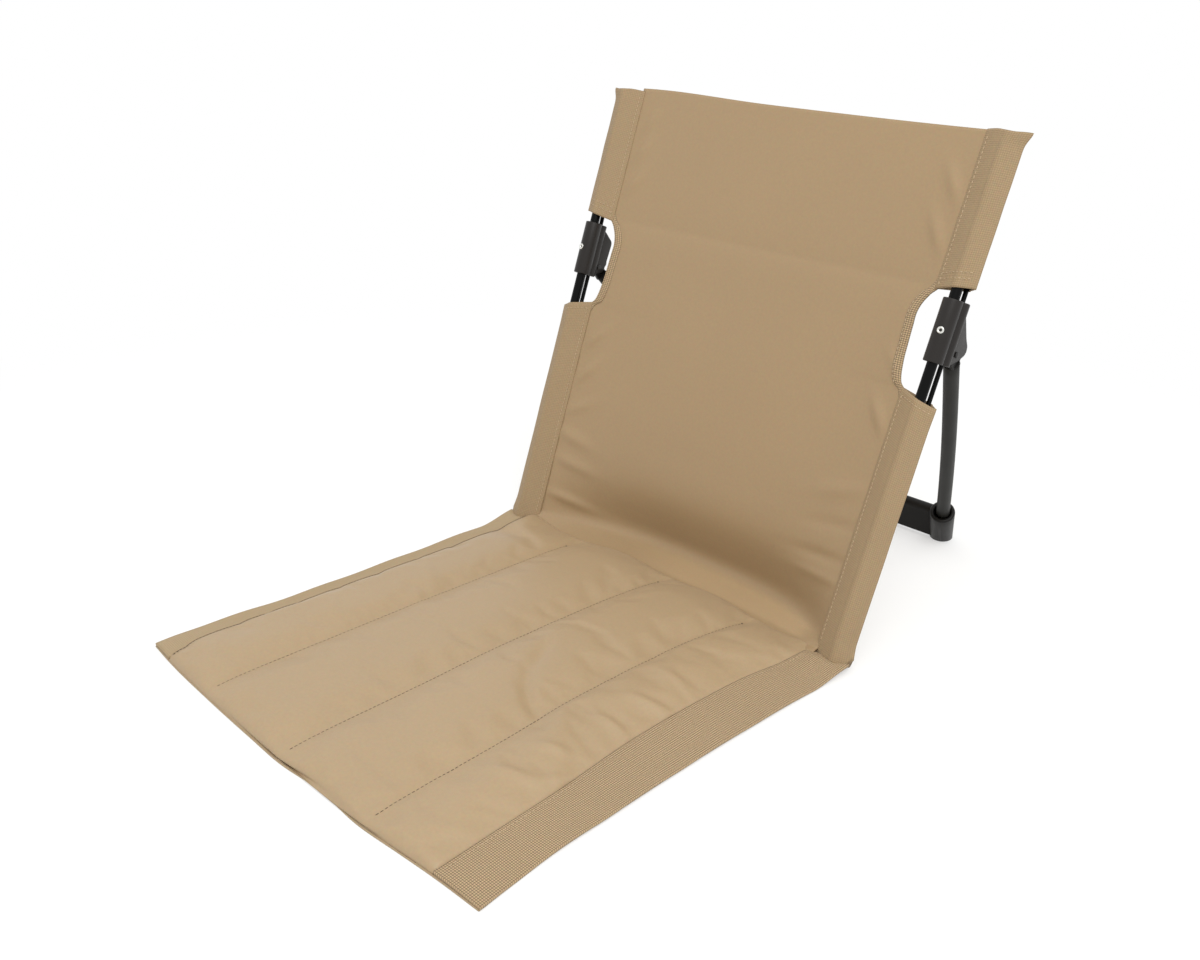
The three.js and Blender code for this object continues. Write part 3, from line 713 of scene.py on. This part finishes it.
for side, sign in (("right", 1), ("left", -1)):
    bm = cloth_grid(len(hem_inward) - 1, 64, hem_girth, hem_high - hem_low, hem_place(sign))
    if side == "right":
        bmesh.ops.reverse_faces(bm, faces=bm.faces)
    hem = make_piece(f"notch_hem_{side}_webbing", bm, webbing)
    thicken(hem, hem_thickness)
    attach(hem, "backrest")
    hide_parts(f"notch_hem_{side}")


# Underside of the seat
# A single layer of the same cloth closes the seat from below and lies on the floor. Its side
# edges are sewn into the bands.
under_thickness = 0.0008
under_margin = 0.0006


def under_place(u, v):
    front = front_line(left_edge_x[0] + (right_edge_x[0] - left_edge_x[0]) * u) - under_margin
    y = front + (band_rear - front) * v
    left = through(y, band_table_y, left_edge_x) + under_margin
    right = through(y, band_table_y, right_edge_x) - under_margin
    x = left + (right - left) * u
    lift = edge_rise(ease(np.abs(2 * u - 1), 0.9, 1.0) * (x > 0), v)
    height = under_thickness + lift + corner_rise(x, y)
    return np.stack([x, y, height], axis=1)


bm = cloth_grid(60, 60, 2 * half_width, band_rear - seat_front, under_place)
underside = make_piece("seat_underside", bm, oxford)
thicken(underside, under_thickness)
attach(underside, "seat")
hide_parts("seat_base_cloth")


# Sleeves
# The same webbing is wrapped round each rail and rod and sewn to the back cloth. The hinge
# notch parts it into a lower and an upper sleeve, and its outer edge is pinched flat.
sleeve_colour = (0.376, 0.264, 0.146)
sleeve_webbing = woven("tan_sleeve_webbing", sleeve_colour, webbing_rib, relief=0.0002,
                       gap_painted_shade=0.26)
rail_radius = 0.0045
rod_radius = 0.002
rod_outboard = 0.002
rod_behind = 0.012
sleeve_rows = 70
sleeve_steps = 64
sleeve_clear = 0.0018
sleeve_room = 0.0012
rail_room = 0.001
slack_from_seam = (-0.0195, -0.015)
slack_to_edge = (0.01, 0.013)
slack_rounds = 44
edge_outboard = 0.014
edge_behind = 0.0022
edge_radius = 0.0006
sleeve_thickness = 0.0009
sleeve_slack = 0.0006
sleeve_wave = 0.0002
bottom_flare = 0.003
flare_height = 0.024
bottom_trim = 0.009
trim_across = (0.0085, 0.0135)
top_dip = 0.0018
dip_middle = 0.002
dip_width = 0.008


def taut_outline():
    """The section of a sleeve drawn round rail and rod, from the seam to its flat outer edge."""
    middles = np.array([(0, 0), (rod_outboard, rod_behind), (-seam_inboard, rail_forward),
                        (edge_outboard, edge_behind)])
    radii = np.array([rail_radius + sleeve_room + rail_room, rod_radius + sleeve_room,
                      edge_radius, edge_radius])
    turns = np.linspace(0, 2 * math.pi, 721)
    rays = np.stack([np.cos(turns), np.sin(turns)], axis=1)
    touched = np.argmax(rays @ middles.T + radii, axis=1)
    hull = middles[touched] + rays * radii[touched][:, None]
    run = run_along(hull)
    even = np.linspace(0, run[-1], sleeve_steps, endpoint=False)
    soft = np.stack([np.interp(even, run, hull[:, 0]), np.interp(even, run, hull[:, 1])], axis=1)
    x = soft[:, :1]
    slack = ease(x, *slack_from_seam) * (1 - ease(x, *slack_to_edge))
    for _ in range(slack_rounds):
        drawn = (np.roll(soft, 1, axis=0) + np.roll(soft, -1, axis=0)) / 2
        soft = soft + (drawn - soft) * 0.5 * slack
    for middle, radius in (((0, 0), rail_radius), ((rod_outboard, rod_behind), rod_radius)):
        away = soft - middle
        far = np.linalg.norm(away, axis=1, keepdims=True)
        least = radius + sleeve_thickness + sleeve_slack
        soft = np.where(far < least, middle + away / far * least, soft)
    return soft


sleeve_outline = taut_outline()
sleeve_girth = float(run_along(np.vstack([sleeve_outline, sleeve_outline[:1]]))[-1])


def outward_share(x):
    """0 at the sleeve's seam and about 1 at its outer edge."""
    return (x + seam_inboard) / (seam_inboard + rod_behind)


def set_in(bm, matrix):
    bmesh.ops.transform(bm, matrix=matrix, verts=bm.verts)
    return bm


def sleeve(low, high, slant_low, slant_high, flare, closed):
    """One right-hand sleeve. The slants tilt its ends, and the flare pulls its top corner out."""
    def place(u, v):
        x, y = sleeve_outline[np.round(u * sleeve_steps).astype(int) % sleeve_steps].T
        outward = np.clip(outward_share(x), 0, 1)
        bottom = low + slant_low * outward
        if closed:
            bottom = bottom + bottom_trim * ease(x, *trim_across)
            clear = (sleeve_clear - crease_height + (y - rail_forward) * math.cos(back_angle)
                     ) / math.sin(back_angle)
            bottom = np.maximum(bottom, clear)
        z = bottom + (high + slant_high * outward - bottom) * v
        if closed:
            x = x + bottom_flare * (1 - ease(z, low, low + flare_height)) * outward ** 2
        else:
            z = z - top_dip * np.exp(-((x - dip_middle) / dip_width) ** 2) * ease(v, 0.9, 1.0)
        x = x + flare * ease(v, 0.86, 1.0) ** 2 * outward ** 2
        y = y + sleeve_wave * np.sin(v * 17 + x * 120) * (1 - np.abs(2 * v - 1))
        return np.stack([x, y, z], axis=1)

    bm = cloth_grid(sleeve_steps, sleeve_rows, sleeve_girth, high - low, place)
    bmesh.ops.remove_doubles(bm, verts=bm.verts, dist=1e-6)
    if closed:
        ends = [edge for edge in bm.edges if edge.is_boundary and edge.verts[0].co.z < low + 0.02]
        bmesh.ops.contextual_create(bm, geom=ends)
    return set_in(bm, rail_frame)


def both_sides(make, name, material, body, node, finish=None):
    """Makes a right-hand piece and its mirror image on the left."""
    made = []
    for side in ("right", "left"):
        bm = make()
        if side == "left":
            bmesh.ops.scale(bm, vec=(-1, 1, 1), verts=bm.verts)
        bmesh.ops.recalc_face_normals(bm, faces=bm.faces)
        piece = make_piece(f"{name}_{side}", bm, material)
        if finish:
            finish(piece)
        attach(piece, body)
        if node:
            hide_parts(f"{node}_{side}")
        made.append(piece)
    return made


for label, low, high, slant_low, slant_high, flare, closed in (
        ("lower_sleeve", -0.0095, 0.224, 0.0, -0.009, 0.0006, True),
        ("upper_sleeve", 0.306, 0.435, 0.006, 0.001, 0.004, False)):
    for piece in both_sides(lambda: sleeve(low, high, slant_low, slant_high, flare, closed),
                            f"{label}_webbing", sleeve_webbing, "backrest", label,
                            lambda piece: thicken(piece, sleeve_thickness)):
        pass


# Rails and rods
# Gloss black steel: a 9 mm tube carries each side of the back, and a 4 mm rod runs behind it. Both
# sit in the hinge block, and in a cap at each end inside the sleeves.
speck_scale = 1400.0
smudge_scale = 55.0
smudge_tone = 0.14


def enamel(name, colour, roughness, specular, grain, coat=0.0, metallic=0.0):
    """Painted metal or moulded plastic: an even colour with a fine grain and faint smudges."""
    material, tree, place = new_material(name)
    speck = shader(tree, "TexNoise", Vector=place, Scale=speck_scale, Detail=2.0)
    smudge = shader(tree, "TexNoise", Vector=place, Scale=smudge_scale, Detail=3.0)
    tone = mixed_colour(tree, smudge, toned(colour, 1 - smudge_tone),
                        toned(colour, 1 + smudge_tone))
    gloss = shader(tree, "MapRange", Value=smudge, To_Min=roughness - 0.05, To_Max=roughness + 0.07)
    bump = shader(tree, "Bump", Height=speck, Distance=grain, Strength=0.7)
    skin = shader(tree, "BsdfPrincipled", Base_Color=tone, Roughness=gloss, Normal=bump,
                  Metallic=metallic, Specular_IOR_Level=specular, Coat_Weight=coat,
                  Coat_Roughness=0.12)
    shader(tree, "OutputMaterial", Surface=skin)
    return material


black_enamel = enamel("gloss_black_enamel", (0.003, 0.003, 0.003), roughness=0.2, specular=0.09,
                      grain=0.00001, coat=0.03)
rail_top = 0.421


def bar(radius, low, high, sides=40, bevel=0.0004):
    """A round bar that stands on its own z axis, with its end edges broken."""
    bm = bmesh.new()
    bmesh.ops.create_cone(bm, cap_ends=True, segments=sides, radius1=radius, radius2=radius,
                          depth=high - low)
    bmesh.ops.translate(bm, vec=(0, 0, (low + high) / 2), verts=bm.verts)
    rims = [edge for edge in bm.edges if abs(edge.verts[0].co.z - edge.verts[1].co.z) < 1e-7]
    bmesh.ops.bevel(bm, geom=rims, offset=bevel, affect="EDGES", segments=2, profile=0.5,
                    material=-1)
    return bm


def sharp_edges(piece, angle=35):
    """Keeps flat ends flat while round sides shade smoothly."""
    piece.data.set_sharp_from_angle(angle=math.radians(angle))


both_sides(lambda: set_in(bar(rail_radius, 0, rail_top), rail_frame), "main_rail_tube",
           black_enamel, "backrest", "main_rail", sharp_edges)


def rear_rod():
    bm = bar(rod_radius, 0, rail_top, 24, 0.0003)
    return set_in(bm, rail_frame @ Matrix.Translation((rod_outboard, rod_behind, 0)))


both_sides(rear_rod, "rear_rod_steel", black_enamel, "backrest", "rear_rod", sharp_edges)


# Hinge blocks
# Moulded nylon: one barrel grips the rail and one the rod, with a soft groove between them. Two
# ears behind hold the leg's pin. An eyelet through the front fixes the block to the rail.
nylon = enamel("charcoal_nylon", (0.0195, 0.0168, 0.015), roughness=0.38, specular=0.26,
               grain=0.00006)
front_barrel = 0.0082
rear_barrel = 0.0065
block_low = block_middle - 0.026
block_high = block_middle + 0.026
block_bevel = 0.0009
groove_softness = 0.0011
block_steps = 72
block_centre = (0.001, 0.0066)
bore_room = 0.0002


def barrel_outline():
    """The block's section, seen along the rail: two barrels that run into each other softly."""
    centre = Vector(block_centre)
    circles = ((Vector((0, 0)), front_barrel), (Vector((rod_outboard, rod_behind)), rear_barrel))
    outline = []
    for step in range(block_steps):
        turn = 2 * math.pi * step / block_steps
        ray = Vector((math.cos(turn), math.sin(turn)))
        reaches = []
        for middle, radius in circles:
            offset = centre - middle
            half = offset.dot(ray)
            inside = half * half - offset.length_squared + radius * radius
            reaches.append(-half + math.sqrt(inside) if inside > 0 else 0.0)
        reach = groove_softness * math.log(sum(math.exp(r / groove_softness) for r in reaches))
        outline.append(centre + ray * reach)
    return outline


def add_loop(bm, points, z):
    verts = [bm.verts.new((x, y, z)) for x, y in points]
    return [bm.edges.new((verts[i - 1], verts[i])) for i in range(len(verts))]


def circle_points(x, y, radius, count):
    turns = [2 * math.pi * i / count for i in range(count)]
    return [(x + radius * math.cos(turn), y + radius * math.sin(turn)) for turn in turns]


def draw_out(bm, way):
    """Extrudes the flat faces of a bmesh into solids."""
    raised = bmesh.ops.extrude_face_region(bm, geom=bm.faces[:])
    moved = [item for item in raised["geom"] if isinstance(item, bmesh.types.BMVert)]
    bmesh.ops.translate(bm, vec=way, verts=moved)


def hinge_block():
    bm = bmesh.new()
    edges = add_loop(bm, barrel_outline(), block_low)
    for x, y, radius, count in ((0, 0, rail_radius, 36),
                                (rod_outboard, rod_behind, rod_radius, 20)):
        edges += add_loop(bm, circle_points(x, y, radius + bore_room, count), block_low)
    bmesh.ops.triangle_fill(bm, use_beauty=True, edges=edges)
    draw_out(bm, (0, 0, block_high - block_low))
    return set_in(bm, rail_frame)


ear_middle = 0.2027
ear_width = 0.0074
tongue_room = 0.0036
pivot_behind = 0.0175
pivot_up = 0.26
slot_front = 0.0107
slot_rear = 0.032
slot_top = block_middle + 0.0128
slot_bottom = block_low - 0.002


def cut_tongue_slot(piece):
    """Cuts the room in which the leg's tongue turns out of the rounded block."""
    side = 1 if piece.name.endswith("right") else -1
    bm = bmesh.new()
    bmesh.ops.create_cube(bm, size=1)
    bmesh.ops.scale(bm, vec=(tongue_room, slot_rear - slot_front, slot_top - slot_bottom),
                    verts=bm.verts)
    bmesh.ops.translate(bm, vec=(side * ear_middle, (slot_rear + slot_front) / 2,
                                 (slot_top + slot_bottom) / 2), verts=bm.verts)
    room = make_piece("tongue_room", set_in(bm, back_frame), nylon)
    adjust(piece.modifiers.new("slot", "BOOLEAN"), object=room, operation="DIFFERENCE",
           solver="EXACT")
    seen = piece.evaluated_get(bpy.context.evaluated_depsgraph_get())
    whole, piece.data = piece.data, bpy.data.meshes.new_from_object(seen)
    piece.modifiers.clear()
    bpy.data.objects.remove(room)
    bpy.data.meshes.remove(whole)
    sharp_edges(piece, 50)


def round_edges(piece, width, segments):
    adjust(piece.modifiers.new("rounding", "BEVEL"), width=width, segments=segments,
           limit_method="ANGLE", angle_limit=math.radians(50))


def block_finish(piece):
    round_edges(piece, block_bevel, 3)
    cut_tongue_slot(piece)


both_sides(hinge_block, "hinge_block_barrels", nylon, "backrest", "hinge_block",
           block_finish)

outer_ear = (
    (0.008, 0.2495), (0.0135, 0.2512), (0.0205, 0.2543), (0.027, 0.258), (0.0318, 0.2614),
    (0.0337, 0.265), (0.0325, 0.2695), (0.0272, 0.2745), (0.0217, 0.2815), (0.0158, 0.2893),
    (0.012, 0.2932), (0.008, 0.294),
)
inner_ear = (
    (0.008, 0.2495), (0.0165, 0.2527), (0.0235, 0.2552), (0.0262, 0.2585), (0.027, 0.27),
    (0.0276, 0.286), (0.0262, 0.2888), (0.0142, 0.2962), (0.008, 0.297),
)
ear_bevel = 0.0005
ear_corner = 0.0014
ear_root = 0.012


def ears():
    """Two flat cheeks with rounded rear corners, the tongue's room apart."""
    cheek = (ear_width - tongue_room) / 2
    bm = bmesh.new()
    for corners, x in ((inner_ear, ear_middle - ear_width / 2),
                       (outer_ear, ear_middle + ear_width / 2 - cheek)):
        bm.faces.new([bm.verts.new((x, y, z)) for y, z in corners])
    draw_out(bm, (cheek, 0, 0))
    uprights = [edge for edge in bm.edges
                if abs(edge.verts[0].co.x - edge.verts[1].co.x) > 1e-6
                and edge.verts[0].co.y > ear_root]
    bmesh.ops.bevel(bm, geom=uprights, offset=ear_corner, affect="EDGES", segments=3,
                    profile=0.5, material=-1)
    return set_in(bm, back_frame)


both_sides(ears, "hinge_ears", nylon, "backrest", None,
           lambda piece: round_edges(piece, ear_bevel, 2))


# Rivets and pins
# A bright eyelet with a sunk middle holds each block, and a blackened pin with two heads
# carries each leg between the ears.
bright_nickel = enamel("bright_nickel", (0.7, 0.7, 0.66), roughness=0.24, specular=0.5,
                       grain=0.00001, metallic=0.9)
dark_steel = enamel("blackened_steel", (0.028, 0.027, 0.026), roughness=0.38, specular=0.3,
                    grain=0.00002)


def lathe(profile, steps):
    """A turned piece round its own z axis, from a profile of radius and height."""
    bm = bmesh.new()
    verts = [bm.verts.new((r, 0, z)) for r, z in profile]
    chain = [bm.edges.new((verts[i], verts[i + 1])) for i in range(len(verts) - 1)]
    bmesh.ops.spin(bm, geom=verts + chain, axis=(0, 0, 1), cent=(0, 0, 0), angle=2 * math.pi,
                   steps=steps, use_merge=True)
    bmesh.ops.remove_doubles(bm, verts=bm.verts, dist=1e-6)
    return bm


eyelet_turn = math.radians(12)
eyelet_frame = Matrix.Translation((0, 0, block_middle)) @ Matrix.Rotation(
    eyelet_turn, 4, "Z") @ Matrix.Rotation(math.pi / 2, 4, "X")
eyelet_profile = (
    (0, 0.0064), (0.0016, 0.0064), (0.0016, 0.008), (0.0029, 0.008), (0.003, 0.0084),
    (0.0027, 0.0089), (0.0021, 0.0091), (0.0015, 0.0088), (0.0011, 0.0082), (0.0009, 0.0077),
    (0, 0.0075),
)
both_sides(lambda: set_in(lathe(eyelet_profile, 32), rail_frame @ eyelet_frame),
           "block_eyelet_nickel", bright_nickel, "backrest", "block_eyelet")

pin_room = 0.0003
pin_reach = ear_width / 2 + pin_room
pin_head = ((0.002, 0), (0.0026, 0), (0.0026, 0.0006), (0.0019, 0.0011), (0, 0.0011))
pin_profile = [(r, -pin_reach - z) for r, z in reversed(pin_head)]
pin_profile += [(r, pin_reach + z) for r, z in pin_head]
pin_frame = back_frame @ Matrix.Translation((ear_middle, pivot_behind, pivot_up)) @ Matrix.Rotation(
    math.pi / 2, 4, "Y")
both_sides(lambda: set_in(lathe(pin_profile, 28), pin_frame), "pivot_pin_steel", dark_steel,
           "backrest", "pivot_pin")


# Legs
# Dark grey coated steel tubes, about 14 mm thick and bent a little, that lean back and inward
# from the pins. A plugged knuckle joins each to its pin.
leg_paint = enamel("dark_grey_coat", (0.017, 0.017, 0.0145), roughness=0.44, specular=0.18,
                   grain=0.00004)
leg_lean = math.radians(37.4)
leg_inward = math.radians(14.5)
leg_radius = 0.0066
leg_start = 0.013
socket_height = 0.042
leg_frame = Matrix.Translation((ear_middle, leg_pivot[1], leg_pivot[2])) @ Matrix.Rotation(
    leg_lean, 4, "X") @ Matrix.Rotation(-math.pi + leg_inward, 4, "Y")
down_share = math.cos(leg_inward) * math.cos(leg_lean)
leg_to_floor = leg_pivot[2] / down_share
socket_rim = (leg_pivot[2] - socket_height) / down_share
leg_plugged = 0.0257
leg_end = socket_rim + leg_plugged
leg_bow = 0.002
leg_bands = 26


def leg_tube():
    bm = bar(leg_radius, leg_start, leg_end, 48, 0.0005)
    for height in np.linspace(leg_start, leg_end, leg_bands)[1:-1]:
        bmesh.ops.bisect_plane(bm, geom=bm.verts[:] + bm.edges[:] + bm.faces[:], dist=1e-7,
                               plane_co=(0, 0, height), plane_no=(0, 0, 1))
    for vert in bm.verts:
        share = (vert.co.z - leg_start) / (leg_end - leg_start)
        vert.co.x -= leg_bow * math.sin(math.pi * share)
    return set_in(bm, leg_frame)


both_sides(leg_tube, "leg_tube_steel", leg_paint, "leg_frame", "leg_tube", sharp_edges)


# Feet
# Each leg is plugged into a moulded cup with a thick rim, cut flat where it stands. A bar with a
# rounded ridge and a thin web below it joins the two cups.
foot_nylon = enamel("black_nylon", (0.0125, 0.0117, 0.0108), roughness=0.4, specular=0.17,
                    grain=0.00006)
socket_radius = 0.01225
socket_end = 0.01125
socket_hole = 0.008
socket_deep = 0.026
socket_lip = 0.0022
socket_bevel = 0.0012
socket_taper = 0.012
socket_waist = socket_radius - 0.0002
foot_clear = 0.0002


def foot_socket():
    low = leg_to_floor + socket_radius
    lip = socket_rim + socket_lip
    profile = [(0, socket_rim + socket_deep), (socket_hole, socket_rim + socket_deep),
               (socket_hole, lip)]
    for step in range(9):
        turn = math.pi * step / 8
        middle = (socket_hole + socket_radius) / 2
        reach = (socket_radius - socket_hole) / 2
        profile.append((middle - reach * math.cos(turn), lip - socket_lip * math.sin(turn)))
    profile += [(socket_waist, socket_rim + socket_taper), (socket_end, low), (0, low)]
    bm = set_in(lathe(profile, 64), leg_frame)
    cut = bmesh.ops.bisect_plane(bm, geom=bm.verts[:] + bm.edges[:] + bm.faces[:], dist=1e-7,
                                 plane_co=(0, 0, foot_clear), plane_no=(0, 0, -1), clear_outer=True)
    edges = [item for item in cut["geom_cut"] if isinstance(item, bmesh.types.BMEdge)]
    bmesh.ops.contextual_create(bm, geom=edges)
    return bm


both_sides(foot_socket, "foot_socket_nylon", foot_nylon, "leg_frame", "foot_socket",
           lambda piece: round_edges(piece, socket_bevel, 3))

bar_ridge = 0.00575
bar_top = 0.036
bar_low = 0.004
bar_web = 0.008
bar_forward = 0.0115
bar_overlap = 0.001
bar_undercut = 0.0006
foot_rear = leg_pivot[1] + leg_to_floor * math.cos(leg_inward) * math.sin(leg_lean)
foot_side = ear_middle - leg_to_floor * math.sin(leg_inward)
bar_y = foot_rear - bar_forward
ridge_z = bar_top - bar_ridge


def foot_bar_mesh():
    outline = [(bar_y - bar_web / 2, bar_low), (bar_y + bar_web / 2, bar_low)]
    start = math.asin((bar_web / 2 + bar_undercut) / bar_ridge) - math.pi / 2
    for step in range(21):
        turn = start + (math.pi - 2 * start) * step / 20
        outline.append((bar_y + bar_ridge * math.cos(turn), ridge_z + bar_ridge * math.sin(turn)))
    bm = bmesh.new()
    end = foot_side + bar_overlap
    bm.faces.new([bm.verts.new((-end, y, z)) for y, z in outline])
    draw_out(bm, (2 * end, 0, 0))
    bmesh.ops.recalc_face_normals(bm, faces=bm.faces)
    return bm


foot_bar = make_piece("foot_bar_nylon", foot_bar_mesh(), foot_nylon)
round_edges(foot_bar, ear_bevel, 2)
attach(foot_bar, "leg_frame")
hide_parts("foot_bar")


# Stitches
# Tan polyester thread in stitches about 3 mm long: brown on the seat, pale on the bands and the
# back. The seat's brown is darkened as painted shade for the stitch holes, and a nearly unbroken
# line of it along the pad's left edge is painted shade in the seam there. A knot ends each of the
# seat's three lines.
def spun(name, colour):
    material, tree, place = new_material(name)
    twist = shader(tree, "TexWave", Vector=place, Scale=900.0).outputs["Fac"]
    tone = mixed_colour(tree, twist, toned(colour, 0.8), colour)
    skin = shader(tree, "BsdfPrincipled", Base_Color=tone, Roughness=0.6)
    shader(tree, "OutputMaterial", Surface=skin)
    return material


# Partly painted shade: a thread colour darkened to stand for the shade in the stitch holes.
brown_thread_and_painted_shade = spun("brown_thread_and_painted_shade", (0.105, 0.073, 0.041))
pale_thread = spun("pale_thread", (0.58, 0.44, 0.28))
stitch_length = 0.003
stitch_gap = 0.0009
thread_radius = 0.00034
thread_lift = 0.00015
knot_radius = 0.0009
stitch_inset = 0.003
sleeve_seams = ((0.004, 0.218), (0.309, 0.432))
sleeve_hems = ((0.3135, 0.006), (0.3185, 0.006), (0.2185, -0.009))
sleeve_stitch_reach = 0.0125
pad_stitch_ends = (97, 99, 99)
shade_line_lift = 0.0003
shade_line_stitch_gap = 0.0001
notch_stitches = (0.226, 0.304)
hem_stitch_inboard = 0.0074
stitch_ahead = 0.0008
front_slope = 0.052
pad_grid = after.reshape(pad_rows + 1, last_column + 1, 3)


def sew(bm, line, gap=stitch_gap):
    """Lays stitches along a line of places, each a small closed bead of thread."""
    run = run_along(line)
    at = 0.0
    while at + stitch_length < run[-1]:
        ends = [Vector([np.interp(at + far, run, line[:, axis]) for axis in range(3)])
                for far in (0, stitch_length)]
        span = ends[1] - ends[0]
        turn = span.to_track_quat("Z", "Y").to_matrix().to_4x4()
        size = Matrix.Diagonal((thread_radius, thread_radius, span.length / 2, 1))
        bmesh.ops.create_uvsphere(bm, u_segments=6, v_segments=4, radius=1,
                                  matrix=Matrix.Translation((ends[0] + ends[1]) / 2) @ turn @ size)
        at += stitch_length + gap


def pad_seam(column, low_row, high_row):
    """A column of the finished pad, where the Subdivision modifier leaves it."""
    rows = pad_grid[low_row:high_row + 1]
    line = 0.75 * rows[:, column] + 0.125 * (rows[:, column - 1] + rows[:, column + 1])
    return line + (0, 0, thread_lift)


bm = bmesh.new()
for column, high_row in zip(stitch_columns[1:-1], pad_stitch_ends):
    line = pad_seam(column, first_stitch_row, high_row)
    sew(bm, line)
    bmesh.ops.create_uvsphere(bm, u_segments=8, v_segments=6, radius=knot_radius,
                              matrix=Matrix.Translation(line[-1]))
# Painted shade: a nearly unbroken dark line of thread along the pad's left edge, where the seam
# lies in shade.
sew(bm, pad_seam(2, 2, pad_rows - 4) + (0, 0, shade_line_lift), shade_line_stitch_gap)
seat_stitches = make_piece("seat_stitches", bm, brown_thread_and_painted_shade)
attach(seat_stitches, "seat")

bm = bmesh.new()
for seam_table, sign in ((right_seam_x, 1), (left_seam_x, -1)):
    y = np.linspace(seat_front + 0.003, band_rear - 0.012, 120)
    x = through(y, seam_table_y, seam_table) + sign * stitch_inset
    height = band_level + corner_rise(x, y) + thread_lift
    sew(bm, np.stack([x, y, height], axis=1))
band_stitches = make_piece("band_stitches", bm, pale_thread)
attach(band_stitches, "seat")

above_seam = rail_forward - (sleeve_outline[:, 0] + seam_inboard) * front_slope
front_side = sleeve_outline[sleeve_outline[:, 1] < above_seam]
front_side = front_side[np.argsort(front_side[:, 0])]


def on_sleeve(x, z):
    """A place on the front of the right-hand sleeve, in the rail's frame."""
    y = np.interp(x, front_side[:, 0], front_side[:, 1]) - thread_lift
    return np.stack([x, y, z], axis=1)


bm = bmesh.new()
seam_x = np.full(40, stitch_inset - seam_inboard)
across = np.linspace(stitch_inset - seam_inboard, sleeve_stitch_reach, 40)
for low, high in sleeve_seams:
    sew(bm, on_sleeve(seam_x, np.linspace(low, high, 40)))
for up, slant in sleeve_hems:
    sew(bm, on_sleeve(across, up + slant * outward_share(across)))
set_in(bm, rail_frame)
copied = bmesh.ops.duplicate(bm, geom=bm.verts[:] + bm.edges[:] + bm.faces[:])
mirrored = [item for item in copied["geom"] if isinstance(item, bmesh.types.BMVert)]
bmesh.ops.scale(bm, vec=(-1, 1, 1), verts=mirrored)
bmesh.ops.recalc_face_normals(bm, faces=bm.faces)
z = np.linspace(*notch_stitches, 60)
for sign in (-1, 1):
    sew(bm, beside_notch(sign, hem_stitch_inboard, z, -stitch_ahead))
back_stitches = make_piece("back_stitches", bm, pale_thread)
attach(back_stitches, "backrest")


# Parts that keep their solids
# The caps on the rails' ends lie inside the sleeves, and the knuckles are plugged into the legs.
# They are plain nylon mouldings and show little.
for node, material in (("rail_top_cap", nylon), ("rail_foot_cap", nylon),
                       ("leg_knuckle", foot_nylon)):
    for side in ("right", "left"):
        slots = frame["nodes"][f"{node}_{side}"].data.materials
        slots.clear()
        slots.append(material)
